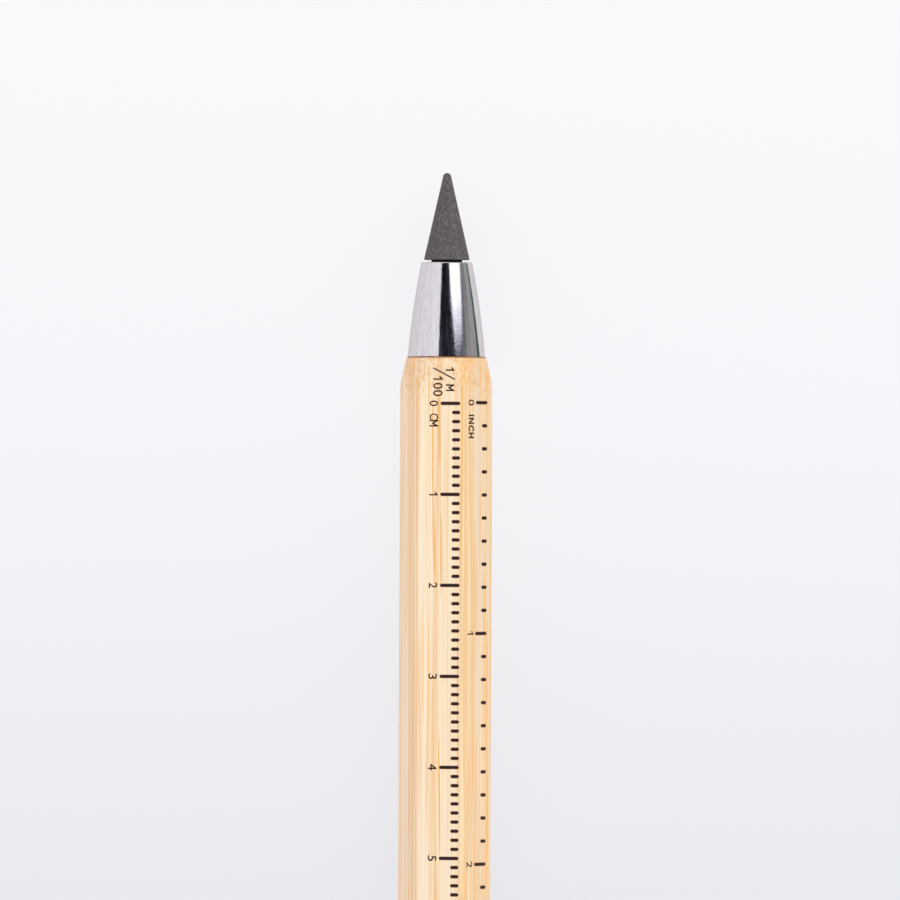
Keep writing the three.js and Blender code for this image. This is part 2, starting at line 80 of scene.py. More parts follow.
def span(node, axis=0):
    """Where a node starts and ends along an axis, in millimetres."""
    return [end[axis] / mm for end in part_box(node)]


def reach(node):
    """Half of a node's height, which is the largest radius of a turned piece."""
    low, high = span(node, 2)
    return (high - low) / 2


axis_height = reach("barrel")
barrel_front, barrel_rear = span("barrel")
vial_front, vial_rear = span("level_vial")
vial_middle = (vial_front + vial_rear) / 2
print("barrel from", round(barrel_front, 3), "to", round(barrel_rear, 3), "mm, axis", axis_height, "mm up")

# %% [markdown]
# ## Colours and nodes
#
# Colours are written as sRGB hex values, but light adds up in linear values, so one function turns one into
# the other. Another adds any shader node with its settings and links. A material is then a list of nodes:
# where a point lies, a pattern in real millimetres, and the colours that the pattern chooses.

# %% Colour and node helpers
RGBA = {"out": 2, "data_type": "RGBA"}


def linear(code):
    """sRGB to linear: c / 12.92 up to 0.04045, and above it ((c + 0.055) / 1.055) to the power 2.4."""
    c = np.array([int(code[i:i + 2], 16) for i in (0, 2, 4)]) / 255
    return (*np.where(c <= 0.04045, c / 12.92, ((c + 0.055) / 1.055) ** 2.4), 1)


def feed(node, inputs):
    """Gives a node's inputs, by name or in order, a value each or a link from another output."""
    named = inputs if isinstance(inputs, dict) else dict(enumerate(inputs))
    for key, value in named.items():
        if isinstance(value, bpy.types.NodeSocket):
            node.id_data.links.new(value, node.inputs[key])
        else:
            node.inputs[key].default_value = value


def add(tree, kind, inputs=(), out=0, stops=(), **settings):
    """Adds a node with its settings, links and ramp stops, and gives back one of its outputs."""
    node = tree.nodes.new("ShaderNode" + kind)
    for key, value in settings.items():
        setattr(node, key, value)
    feed(node, inputs)
    for number, (place, colour) in enumerate(stops):
        band = node.color_ramp.elements
        element = band[number] if number < len(band) else band.new(place)
        element.position, element.color = place, linear(colour)
    return node.outputs[out] if node.outputs else None


def cells(along, across):
    """The scale that makes the cells of a pattern `along` by `across` millimetres."""
    return 1 / (along * mm), 1 / (across * mm), 1 / (across * mm)


def finish(name, colour, **sockets):
    """A material with one Principled shader, whose even values sit on the shader's own sockets, and the
    coordinates that its patterns read."""
    material = bpy.data.materials.new(name)
    material.use_nodes = True
    shader = material.node_tree.nodes["Principled BSDF"]
    feed(shader, {"Base Color": linear(colour)})
    feed(shader, {key.replace("_", " "): value for key, value in sockets.items()})
    return material, material.node_tree, shader, add(material.node_tree, "TexCoord", out="Object")


print("white is", linear("FFFFFF"))

# %% [markdown]
# ## Bamboo
#
# The barrel is a rod of glued bamboo, planed to a hexagon, sanded and lightly oiled. Bamboo has no year
# rings: it is a pale soft ground with bundles of fibres that run straight along the stem. On a planed face
# they show as long thin veins, and on the turned ends, which cut them at a slant, as short flecks. So the
# pattern is made in space, as rods scattered over the section, and each cut through it gives the right
# marks by itself. The glued joints between the strips show as straight darker lines.

# %% Oiled bamboo
bundle_spacing, bundle_radius = 0.5, 0.115
half_barrel = (barrel_rear - barrel_front) / 2

# Colours of the strips and their joints, at shares of the way from -5 mm to +5 mm across the pencil.
# Beside the strips' own tones they hold painted light: the -Y face is painted lighter than its wood,
# in place of light that the studio sends to that face too weakly.
strips_and_painted_side_light = ((0, "FEE3C9"), (0.169, "FEE6CE"), (0.187, "FAC88F"), (0.205, "FEE6CF"), (0.229, "FDE4CC"),
          (0.247, "FAC892"), (0.262, "FDE5CC"), (0.285, "FFEBD0"), (0.7, "FEE7C7"), (0.73, "FBDDB2"),
          (0.757, "F5C88F"), (0.785, "F4CC9A"), (0.825, "F1D9B9"), (0.86, "F0D9BC"))

# Layers of the ground: colour, largest share, millimetres along and across, detail, offset, and the noise
# between which the layer grows. They are broad warm bands, pale pith, and hairs.
layers = (("F6C98F", 0.6, 70, 0.8, 1, 3.1, 0.45, 0.6),
          ("FFEFC8", 0.7, 50, 0.35, 1, 12.3, 0.56, 0.64),
          ("F3BC76", 0.5, 25, 0.15, 2, 5, 0.5, 0.64))


def bundles(tree, place):
    """Fibre bundles: round rods along the stem, at random places in the section. They wander by about a
    spacing over 40 mm, so a flat shows each as a line that comes to the surface and leaves it again."""
    slow = add(tree, "Mapping", {"Vector": place, "Scale": cells(40, 2.5)})
    wander = add(tree, "TexNoise", {"Vector": slow, "Scale": 1, "Detail": 1}, "Color")
    centred = add(tree, "VectorMath", (wander, (0.5, 0.5, 0.5)), operation="SUBTRACT")
    offset = add(tree, "VectorMath", {0: centred, "Scale": 3}, operation="SCALE")
    straight = add(tree, "Mapping", {"Vector": place, "Scale": cells(1e6, bundle_spacing)})
    bent = add(tree, "SeparateXYZ", (add(tree, "VectorMath", (straight, offset)),), "Y")
    section = add(tree, "CombineXYZ", (bent, bent.node.outputs["Z"]))
    rods = add(tree, "TexVoronoi", {"Vector": section, "Scale": 1}, voronoi_dimensions="2D")
    rim = bundle_radius / bundle_spacing
    inside = add(tree, "MapRange", (rods, 0.6 * rim, rim, 1, 0))
    chance = add(tree, "SeparateColor", (rods.node.outputs["Color"],))
    weight = add(tree, "MapRange", (chance, 0, 1, 0.4, 1.1))
    return add(tree, "Math", (inside, weight), operation="MULTIPLY")


def oiled_bamboo():
    """Cream ground in three glued strips, bands, hairs and orange bundles, and painted light that makes the
    -Y face lighter. Both turned ends are warmer, because they show cut fibres, and the last 0.2 mm are
    darker brown."""
    material, tree, shader, place = finish("oiled_bamboo", "F6DDBA", Roughness=0.5)
    x = add(tree, "SeparateXYZ", (place,))
    side = add(tree, "MapRange", (x.node.outputs["Y"], -5 * mm, 5 * mm))
    tone = add(tree, "ValToRGB", (side,), stops=strips_and_painted_side_light)
    shares = []
    for colour, most, along, across, detail, offset, low, high in layers:
        spot = add(tree, "Mapping", (place, (offset,) * 3, (0, 0, 0), cells(along, across)))
        noise = add(tree, "TexNoise", {"Vector": spot, "Scale": 1, "Detail": detail})
        shares.append((add(tree, "MapRange", (noise, low, high, 0, most)), colour))
    shares.append((bundles(tree, place), "F7B860"))
    away = add(tree, "Math", (x, -(barrel_front + half_barrel) * mm), operation="ADD")
    away = add(tree, "Math", (away,), operation="ABSOLUTE")
    spot = add(tree, "Mapping", {"Vector": place, "Scale": cells(0.65, 0.15)})
    noise = add(tree, "TexNoise", {"Vector": spot, "Scale": 1, "Detail": 1})
    fleck = add(tree, "MapRange", (noise, 0.55, 0.63))
    # Towards the ends: millimetres from an end to its start and full share, that share, place, colour.
    near_ends = ((5.5, 3, 0.6, fleck, "E9A050"), (3.8, 1.5, 0.15, 1, "F0B469"),
                 (0.22, 0.03, 0.9, 1, "A8652F"))
    for start, stop, most, where, colour in near_ends:
        ends = ((half_barrel - start) * mm, (half_barrel - stop) * mm)
        share = add(tree, "MapRange", (away, *ends, 0, most))
        shares.append((add(tree, "Math", (share, where), operation="MULTIPLY"), colour))
    for share, colour in shares:
        tone = add(tree, "Mix", {0: share, 6: tone, 7: linear(colour)}, **RGBA)
    fine = add(tree, "Mapping", {"Vector": place, "Scale": cells(2, 0.07)})
    height = add(tree, "TexNoise", {"Vector": fine, "Scale": 1, "Detail": 2})
    feed(shader, {"Base Color": tone,
                  "Normal": add(tree, "Bump", {"Height": height, "Distance": 0.006 * mm})})
    return material


bamboo = oiled_bamboo()
print("bundles", 2 * bundle_radius, "mm thick, one in each", bundle_spacing, "mm")

# %% [markdown]
# ## Metals
#
# The nose, collar, clip and cap are brass under polished nickel, so nearly everything that they show is a
# reflection: what matters is a smooth shape and a faint waviness from the buffing wheel. The insert is bare
# turned brass with rings from the lathe, the bit is satin tool steel, and the writing tip is a soft grey
# alloy with the dull, speckled skin of sintered metal.

# %% Polished nickel, turned brass, tool steel and writing alloy
def buffed_nickel():
    """Mirror plating: metal, almost smooth, with buffing waves about 2 mm long, an orange peel of 0.2 mm
    and faint stains."""
    material, tree, shader, place = finish("buffed_nickel_plate", "DEDEE1", Metallic=1)
    streak = add(tree, "Mapping", {"Vector": place, "Scale": cells(1.5, 0.4)})
    stain = add(tree, "TexNoise", {"Vector": streak, "Scale": 1, "Detail": 3})
    tone = add(tree, "ValToRGB", (stain,), stops=((0.3, "D8D8DA"), (0.7, "E4E4E5")))
    haze = add(tree, "TexNoise", {"Vector": place, "Scale": 1 / (0.5 * mm), "Detail": 2})
    peel = add(tree, "TexNoise", {"Vector": place, "Scale": 1 / (0.2 * mm), "Detail": 1})
    spot = add(tree, "Mapping", {"Vector": place, "Scale": cells(2, 0.9)})
    waves = add(tree, "TexNoise", {"Vector": spot, "Scale": 1, "Detail": 1})
    height = add(tree, "Math", (peel, 0.65, waves), operation="MULTIPLY_ADD")
    feed(shader, {"Base Color": tone, "Roughness": add(tree, "MapRange", (haze, 0.3, 0.7, 0.07, 0.14)),
                  "Normal": add(tree, "Bump", {"Height": height, "Distance": 0.006 * mm})})
    return material


def turned_metal(name, colour, roughness, ring=0.12):
    """Bare metal from the lathe: rings square to the axis, a little rougher in their grooves."""
    material, tree, shader, place = finish(name, colour, Metallic=1)
    spot = add(tree, "Mapping", {"Vector": place, "Scale": cells(ring, 40)})
    rings = add(tree, "TexNoise", {"Vector": spot, "Scale": 1, "Detail": 2})
    feed(shader, {"Roughness": add(tree, "MapRange", (rings, 0.3, 0.7, roughness - 0.06, roughness + 0.08)),
                  "Normal": add(tree, "Bump", {"Height": rings, "Distance": 0.004 * mm})})
    return material


def writing_alloy():
    """Dull warm grey metal with an even fine grain and the faint rings of its turning. Oxide scatters light
    more than it mirrors it, so the shader is hardly metallic."""
    material, tree, shader, place = finish("sintered_writing_alloy", "666063", Metallic=0.1,
                                           Specular_IOR_Level=0.08)
    speck = add(tree, "TexNoise", {"Vector": place, "Scale": 1 / (0.3 * mm), "Detail": 3, "Roughness": 0.7})
    tone = add(tree, "ValToRGB", (speck,), stops=((0.34, "544E51"), (0.51, "625C5F"), (0.68, "777174")))
    spot = add(tree, "Mapping", {"Vector": place, "Scale": cells(0.14, 30)})
    rings = add(tree, "TexNoise", {"Vector": spot, "Scale": 1, "Detail": 1})
    height = add(tree, "Math", (speck, rings), operation="ADD")
    feed(shader, {"Base Color": tone, "Roughness": add(tree, "MapRange", (speck, 0.3, 0.7, 0.62, 0.48)),
                  "Normal": add(tree, "Bump", {"Height": height, "Distance": 0.006 * mm})})
    return material


nickel = buffed_nickel()
brass = turned_metal("turned_brass", "D9B871", 0.24)
tool_steel = turned_metal("satin_tool_steel", "A6A8AB", 0.34, ring=0.25)
plated_steel = turned_metal("zinc_plated_steel", "C6C8CA", 0.28)
alloy = writing_alloy()
print("metals:", [m.name for m in (nickel, brass, tool_steel, plated_steel, alloy)])

# %% [markdown]
# ## Rubber, acrylic, liquid and ink
#
# The washer, the O-ring and the stylus are black rubber with a fine moulded grain. The level is a clear
# acrylic tube with a yellow green liquid. The rulers' marks are burnt in and filled with black, so each has
# a dark core and a brown singed rim. An attribute named core says how far in a point of a mark lies.
#
# The liquid and the bubble glow a little: painted light, an emission that stands in for the light that
# the clear tube lets into the dark bore and for the dye's fluorescence. The bubble is a surface between
# liquid and air, seen from the liquid's side, so its index of refraction is one over the liquid's.

# %% Soft, clear and printed finishes
def moulded(name, colour, roughness, grain=0.05, depth=0.004, **sockets):
    """A moulded skin with a fine even grain."""
    material, tree, shader, place = finish(name, colour, **sockets)
    skin = add(tree, "TexNoise", {"Vector": place, "Scale": 1 / (grain * mm), "Detail": 2})
    feed(shader, {"Roughness": add(tree, "MapRange", (skin, 0.3, 0.7, roughness - 0.05, roughness + 0.05)),
                  "Normal": add(tree, "Bump", {"Height": skin, "Distance": depth * mm})})
    return material


def singed_ink():
    """Near black in the core, brown at the rim, with a few specks where the ground shows through."""
    material, tree, shader, place = finish("singed_black_ink", "1B1420", Roughness=0.7)
    core = add(tree, "Attribute", out="Fac", attribute_name="core")
    from_rim = ((0, "A8643A"), (0.3, "4E2414"), (0.55, "1C1420"), (1, "120E16"))
    tone = add(tree, "ValToRGB", (core,), stops=from_rim)
    speck = add(tree, "TexNoise", {"Vector": place, "Scale": 1 / (0.12 * mm), "Detail": 2})
    share = add(tree, "MapRange", (speck, 0.62, 0.75, 0, 0.35))
    feed(shader, {"Base Color": add(tree, "Mix", {0: share, 6: tone, 7: linear("7A5138")}, **RGBA)})
    return material


clear = {"Transmission_Weight": 1.0}
rubber = moulded("moulded_black_rubber", "1D1D1F", 0.68)
silicone = moulded("moulded_white_silicone", "DCDCD8", 0.6)
acrylic = moulded("polished_clear_acrylic", "F6FAF2", 0.06, 0.8, 0.0005, IOR=1.49, **clear)
# Painted light: a faint yellow green glow that lights the liquid in its dark bore.
liquid = moulded("yellow_green_level_liquid", "E9F77E", 0.06, 0.8, 0.0002, IOR=1.33,
                 Emission_Color=linear("DDF03C"), Emission_Strength=0.2, **clear)
# Painted light: a faint pale glow on the bubble.
air = moulded("air_in_the_level", "FFFFFF", 0.06, 0.8, 0.0002, IOR=1 / 1.33,
              Emission_Color=linear("FBFFD8"), Emission_Strength=0.16, **clear)
ink = singed_ink()
print("materials so far:", len(bpy.data.materials))

# %% [markdown]
# ## From numbers to a piece
#
# Every new shape is a grid of points: rows along the pencil and columns round it. One function joins them
# to quads, others make a mesh, put it on its body and cut holes into it, and one rounds the corners of an
# outline, because no real edge is sharp and a rounded one catches the light.

# %% Mesh helpers
def grid(rows, columns, closed=False):
    """Quads between neighbours: point (row, column) has the number row times columns plus column."""
    row = np.arange(rows if closed else rows - 1)[:, None] * columns
    next_row = (row + columns) % (rows * columns)
    column = np.arange(columns)
    next_column = (column + 1) % columns
    corners = row + column, row + next_column, next_row + next_column, next_row + column
    return np.stack(corners, -1).reshape(-1, 4).tolist()


def closed_grid(rows, columns):
    """A grid round the axis with a face over each of its open ends."""
    return [range(columns), range((rows - 1) * columns, rows * columns)] + grid(rows, columns)


def raw_mesh(points, faces):
    """Millimetres about the axis become metres in the frame."""
    mesh = bpy.data.meshes.new("shape")
    placed = np.asarray(points, float).reshape(-1, 3) * mm + (0, 0, axis_height * mm)
    mesh.from_pydata(placed.tolist(), [], faces)
    return mesh


def merge(mesh, outwards=True):
    """Merges doubles, which closes poles and seams, and turns the faces outwards."""
    work = bmesh.new()
    work.from_mesh(mesh)
    bmesh.ops.remove_doubles(work, verts=work.verts, dist=1e-7)
    if outwards:
        bmesh.ops.recalc_face_normals(work, faces=work.faces)
    work.to_mesh(mesh)
    work.free()


def shaded(mesh, sharp=32):
    """Smooth shading, but for the edges sharper than an angle in degrees."""
    mesh.shade_smooth()
    mesh.set_sharp_from_angle(angle=radians(sharp))
    return mesh


def mesh_of(points, faces, sharp=32):
    """A closed shape from its points in millimetres about the axis."""
    mesh = raw_mesh(points, faces)
    merge(mesh)
    return shaded(mesh, sharp)


def put(name, data):
    """Links a new object to the scene."""
    made = bpy.data.objects.new(name, data)
    bpy.context.scene.collection.objects.link(made)
    return made


def final_mesh(made):
    """An object as a plain mesh, with its modifiers applied."""
    return bpy.data.meshes.new_from_object(made.evaluated_get(bpy.context.evaluated_depsgraph_get()))


def piece(name, mesh, material, body, slot, *stands_for):
    """Puts a mesh into the scene as a piece that rides on a body and stands for the nodes named."""
    mesh.name = name
    made = put(name, mesh)
    mesh.materials.clear()
    mesh.materials.append(material)
    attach(made, body)
    if stands_for:
        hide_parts(*stands_for)
    print(name, len(mesh.polygons), "faces")


def rounded(corners, steps=6):
    """A corner (along, radius) stays sharp. A corner (along, radius, fillet) becomes an arc that touches
    both its sides. The arc's centre is on the line that halves the corner, fillet / sin(half the corner's
    angle) away. A point just outside each end of the arc keeps the shading of the sides even."""
    outline = []
    for i, corner in enumerate(corners):
        here = np.array(corner[:2])
        if len(corner) == 2:
            outline.append(here[None])
            continue
        fillet = corner[2]
        sides = [np.array(corners[j % len(corners)][:2]) - here for j in (i - 1, i + 1)]
        sides = [side / np.linalg.norm(side) for side in sides]
        half = np.arccos(np.clip(sides[0] @ sides[1], -1, 1)) / 2
        centre = here + (sides[0] + sides[1]) / np.linalg.norm(sides[0] + sides[1]) * fillet / sin(half)
        ends = [here + side * fillet / tan(half) for side in sides]
        start, stop = (atan2(*(end - centre)[::-1]) for end in ends)
        swing = (stop - start + pi) % (2 * pi) - pi
        angle = start + swing * np.linspace(0, 1, steps)
        arc = centre + fillet * np.stack([np.cos(angle), np.sin(angle)], 1)
        before, after = (end + side * fillet * 0.1 for end, side in zip(ends, sides))
        outline += [before[None], arc, after[None]]
    return np.concatenate(outline)


def bulged(first, last, sagitta, steps=26):
    """A line from one (along, radius) to another that bulges outwards as a shallow parabola."""
    share = np.linspace(0, 1, steps)[:, None]
    first, last = np.array(first), np.array(last)
    run, rise = (last - first) / np.linalg.norm(last - first)
    return first + (last - first) * share + np.array([-rise, run]) * 4 * sagitta * share * (1 - share)


def round_axis(along, radius, angle):
    """Points (along, r cos a, r sin a)."""
    return np.stack(np.broadcast_arrays(along, radius * np.cos(angle), radius * np.sin(angle)), -1)


def circle(steps):
    """Even angles, without the last one, which would be the first again."""
    return np.linspace(0, 2 * pi, steps, endpoint=False)


def turned(profile, steps=160, closed=False):
    """A lathe: every point (along, radius) of the profile becomes a ring about the axis."""
    along, radius = (column[:, None] for column in np.asarray(profile, float).T)
    return mesh_of(round_axis(along, radius, circle(steps)), grid(len(along), steps, closed=closed))


def with_hollows(solid, *cutters, sharp=32):
    """Cuts meshes out of a mesh, one after another, and marks its sharp edges again."""
    body = put("body", solid)
    for cutter in cutters:
        tool = put("cutter", cutter)
        cut = body.modifiers.new("cut", "BOOLEAN")
        cut.operation, cut.solver, cut.object = "DIFFERENCE", "EXACT", tool
        mesh = final_mesh(body)
        body.modifiers.clear()
        body.data = mesh
        bpy.data.objects.remove(tool)
    bpy.data.objects.remove(body)
    return shaded(mesh, sharp)


def turn(points, degrees):
    """Turns points about the pencil's axis, from +Z towards +Y."""
    c, s = cos(radians(degrees)), sin(radians(degrees))
    return np.asarray(points) @ np.array([[1, 0, 0], [0, c, -s], [0, s, c]])


print("helpers ready")

# %% [markdown]
# ## The writing tip and its screw
#
# The tip is a turned cone of soft alloy with a rounded point. A steel stud is pressed into its socket, and
# the stud's M2.5 thread screws the tip into the nose. The thread is real here: the radius of the stud falls
# and rises with the distance along it less the share of a turn made round it, and that makes a helix.

# %% Writing tip, stud and washer
tip_front, tip_rear = span("writing_tip")
base_radius, point_radius = reach("writing_tip"), 0.45
socket_radius, socket_front = 1.28, tip_rear - 4.2
run = tip_rear - tip_front - point_radius
slope = atan2(base_radius, run) - asin(point_radius / hypot(base_radius, run))
angle = np.linspace(0, pi / 2 - slope, 12)[:, None]
tip_point = np.hstack([tip_front + point_radius * (1 - np.cos(angle)), point_radius * np.sin(angle)])
tip_base = rounded([tip_point[-1], (tip_rear, base_radius, 0.1), (tip_rear, socket_radius, 0.06),
                    (socket_front, socket_radius), (socket_front, 0)])
tip = turned(np.vstack([tip_point, tip_base[1:]]))
piece("tip_skin", tip, alloy, "tip", "writing_alloy", "writing_tip")

thread_pitch, thread_depth, thread_bottom, thread_flank = 0.45, 0.27, 1.15, 2.6
stud_radius, stud_chamfer, stud_steps, rows_per_turn = reach("tip_stud"), 0.3, 60, 14
stud_front, stud_rear = span("tip_stud")
along = np.arange(stud_front, stud_rear, thread_pitch / rows_per_turn)[:, None]
angle = circle(stud_steps)
share = (along / thread_pitch - angle / (2 * pi)) % 1
groove = np.clip(thread_bottom - thread_flank * abs(share - 0.5), 0, 1) * thread_depth
chamfer = stud_radius - stud_chamfer + np.minimum(along - stud_front, stud_rear - along)
stud = round_axis(along, np.minimum(stud_radius - groove, chamfer), angle)
ends = [np.broadcast_to((x, 0, 0), (1, stud_steps, 3)) for x in (stud_front, along[-1, 0])]
stud = np.concatenate([ends[0], stud, ends[1]])
stud = mesh_of(stud, grid(len(stud), stud_steps), sharp=60)
piece("stud_thread", stud, plated_steel, "tip", "steel", "tip_stud")

washer_front, washer_rear = span("tip_washer")
washer_radius, washer_bore = reach("tip_washer"), 1.3
washer = rounded([(washer_front, washer_bore, 0.05), (washer_front, washer_radius, 0.08),
                  (washer_rear, washer_radius, 0.08), (washer_rear, washer_bore, 0.05)])
piece("washer_skin", turned(washer, 96, closed=True), rubber, "washer", "black_rubber", "tip_washer")

# %% [markdown]
# ## Nose, collar and cap
#
# These are turned from brass and plated. Their long sides aren't straight cones: each bulges by a tenth or
# two of a millimetre, which bends the reflections of the studio. Every edge has a small round that draws
# the thin bright line seen where metal meets wood. The collar has a slot for the clip's leg.

# %% Nose cone, rear collar and end cap
nose_front, nose_rear = span("nose_cone")
nose_radius, rim_radius, holder_bore, flange_bore, spigot = reach("nose_cone"), 2.8, 2.03, 2.38, 3.2
step = span("tip_holder")[0] + 4.97
nose = rounded([(nose_front, holder_bore, 0.08), (nose_front, rim_radius, 0.2),
                *bulged((nose_front, rim_radius), (barrel_front, nose_radius), 0.14)[1:-1],
                (barrel_front, nose_radius, 0.09), (barrel_front, spigot), (nose_rear, spigot, 0.3),
                (nose_rear, flange_bore), (step, flange_bore), (step, holder_bore)])
nose = turned(nose, 192, closed=True)
piece("nose_shell", nose, nickel, "pencil_body", "polished_nickel", "nose_cone")

collar_front, collar_rear = span("rear_collar")
collar_radius, collar_bore, flange_room = reach("rear_collar"), 3.03, 3.68
flange_front = collar_rear - 0.83
collar = rounded([(collar_front, collar_bore), (collar_front, collar_radius, 0.15),
                  (collar_rear, collar_radius, 0.2), (collar_rear, flange_room, 0.05),
                  (flange_front, flange_room), (flange_front, collar_bore)])
clip_angle = -60
leg_at = (collar_front + collar_rear) / 2
slot_size, slot_depth = np.array([0.8, 4.0, 3.0]), 0.95
slot_low = np.array([leg_at, 0, collar_radius - slot_depth]) + slot_size * (-0.5, -0.5, 0)
box = np.array([(x, y, z) for z in (0, 1) for x, y in ((0, 0), (1, 0), (1, 1), (0, 1))])
box_faces = closed_grid(2, 4)
slot = mesh_of(turn(slot_low + box * slot_size, clip_angle), box_faces)
collar = with_hollows(turned(collar, 192, closed=True), slot)
piece("collar_shell", collar, nickel, "pencil_body", "polished_nickel", "rear_collar")

cap_front, cap_rear = span("end_cap")
insert_front, spigot_rear = span("rear_insert")
cap_radius, cap_mouth, cap_end = reach("end_cap"), 3.347, 3.2
bit_room, neck_room, core_room = 2.51, 2.73, 1.23
pocket, wall_front, room_front = cap_rear - 1.2, cap_rear - 2.2, spigot_rear + 0.1
cap = rounded([(cap_front, cap_mouth, 0.08), (cap_front, cap_radius, 0.2),
               *bulged((cap_front, cap_radius), (cap_rear, cap_end), 0.25)[1:-1],
               (cap_rear, cap_end, 0.3), (cap_rear, neck_room, 0.06), (pocket, neck_room),
               (pocket, core_room), (wall_front, core_room), (wall_front, bit_room),
               (room_front, bit_room), (room_front, cap_mouth)])
piece("cap_shell", turned(cap, 192, closed=True), nickel, "cap", "polished_nickel", "end_cap")

# %% [markdown]
# ## Insert, O-ring and stylus dome
#
# Behind the collar a brass spigot carries the cap on an O-ring and holds the bit in its hexagonal socket.
# The stylus is a hollow dome of conductive rubber, thin enough to flatten on a screen.

# %% Rear insert, O-ring and dome
spigot_radius, shaft, insert_flange = 3.2967, 3.0, 3.647
groove_front, groove_rear, groove_radius = collar_rear + 1.95, collar_rear + 2.85, spigot_radius - 0.5
flange_at = collar_rear - 0.8
insert = rounded([(insert_front, 0), (insert_front, shaft, 0.3), (flange_at, shaft),
                  (flange_at, insert_flange, 0.05), (collar_rear, insert_flange, 0.08),
                  (collar_rear, spigot_radius, 0.05), (groove_front, spigot_radius, 0.05),
                  (groove_front, groove_radius, 0.05), (groove_rear, groove_radius, 0.05),
                  (groove_rear, spigot_radius, 0.05), (spigot_rear, spigot_radius, 0.25),
                  (spigot_rear, 0)])
socket_flats, beyond = 4.1, 0.1
socket_ends = np.array([[span("bit_magnet")[0] - beyond], [spigot_rear + beyond]])
socket = mesh_of(round_axis(socket_ends, socket_flats / sqrt(3), circle(6)), closed_grid(2, 6))
insert = with_hollows(turned(insert, 144), socket)
piece("insert_skin", insert, brass, "pencil_body", "brass", "rear_insert")

ring_front, ring_rear = span("cap_ring")
ring_middle, ring_half = (ring_front + ring_rear) / 2, (ring_rear - ring_front) / 2
angle = circle(24)
ring = np.stack([ring_middle + ring_half * np.cos(angle),
                 reach("cap_ring") - ring_half * (1 - np.sin(angle))], 1)
piece("ring_skin", turned(ring, 96, closed=True), rubber, "pencil_body", "black_rubber", "cap_ring")

dome_seat, dome_tip = span("stylus_dome")
dome_radius, neck, dome_wall, dome_foot, dome_rim = 3.0, 2.7, 0.8, 0.6, 0.12


def dome_line(wall):
    """A quarter of an ellipse from the cap's end to the dome's top, less the wall both ways."""
    angle = np.linspace(0, pi / 2, 30)[:, None]
    along = cap_rear + (dome_tip - cap_rear - wall) * np.sin(angle)
    return np.hstack([along, (dome_radius - wall) * np.cos(angle)])


outer, inner = dome_line(0), dome_line(dome_wall)
foot_front = dome_seat + dome_foot
lip = rounded([inner[0], (cap_rear, neck - dome_wall), (foot_front, neck - dome_wall),
               (foot_front, core_room, 0.1), (dome_seat, core_room, 0.1), (dome_seat, neck, 0.1),
               (cap_rear, neck), (cap_rear, dome_radius - dome_rim)])
angle = np.linspace(0.2, pi / 2, 5)[:, None]
rim = np.hstack([cap_rear + dome_rim * (1 - np.cos(angle)), dome_radius - dome_rim * (1 - np.sin(angle))])
dome = np.vstack([inner[::-1], lip[1:], rim, outer[2:]])
piece("dome_skin", turned(dome, 128), rubber, "cap", "black_rubber", "stylus_dome")

# %% [markdown]
# ## The hexagonal barrel
#
# A hexagonal rod is turned down at both ends, so each flat ends in the round scallop that every pencil has.
# The skin is a grid in polar coordinates. Its radius is the smaller one of two: that of the rounded
# hexagon, which depends on the angle alone, and that of the turned end, which depends on the distance from
# the end alone. Where the two meet, a blend of 0.05 mm softens the edge as sandpaper does. A slot whose
# upper rim flares then cuts the window over the level and leaves a small chamfer.

# %% Barrel
half_flats, edge_radius = axis_height, 0.5
shoulder, shoulder_radius, shoulder_bulge, broken_edge = 3.9, 4.35, 0.06, 0.1


def hexagon_radius(angle, flat=half_flats, edge=edge_radius):
    """Polar radius of a rounded hexagon. On a flat it is flat / cos(a), with a counted from the flat's
    middle. On an edge it is c cos(b) + sqrt(edge^2 - (c sin(b))^2), with b counted from the corner and c
    the distance of the edge's centre from the axis."""
    from_flat = abs((angle + pi / 6) % (pi / 3) - pi / 6)
    from_corner = pi / 6 - from_flat
    centre = (flat - edge) / cos(pi / 6)
    bend = atan2((flat - edge) * tan(pi / 6), flat)
    root = np.sqrt(np.maximum(edge ** 2 - (centre * np.sin(from_corner)) ** 2, 0))
    return np.where(from_flat > bend, centre * np.cos(from_corner) + root, flat / np.cos(from_flat))


def shoulder_curve(depth):
    """Radius of the turned end at a depth from the barrel's end, with a slight bulge and a broken edge."""
    share = depth / shoulder
    corner = half_flats / cos(pi / 6)
    radius = shoulder_radius + (corner - shoulder_radius) * share + shoulder_bulge * 4 * share * (1 - share)
    broken = np.clip(broken_edge - depth, 0, broken_edge)
    return radius - (broken_edge - np.sqrt(np.maximum(broken_edge ** 2 - broken ** 2, 0)))


def softer(first, second, blend=0.05):
    """The smaller of two values, rounded off where they differ by less than the blend."""
    near = np.maximum(blend - abs(first - second), 0) / blend
    return np.minimum(first, second) - near ** 2 * blend / 4


def hexagon_columns(flat, edge, flat_steps, edge_steps):
    """Angles round a hexagon with a flat facing +Z: even steps over each flat, closer ones round each edge,
    and one just inside the flat, which keeps its shading even."""
    half, inside = (flat - edge) * tan(pi / 6), 0.03
    on_flat = np.arctan(np.linspace(-half, half, flat_steps) / flat)
    near = np.arctan((half - inside) / flat)
    gap = np.linspace(on_flat[-1], pi / 3 + on_flat[0], edge_steps + 1)[1:-1]
    sector = np.sort(np.concatenate([on_flat, [near, -near], gap]))
    return np.concatenate([sector + pi / 2 + i * pi / 3 for i in range(6)])


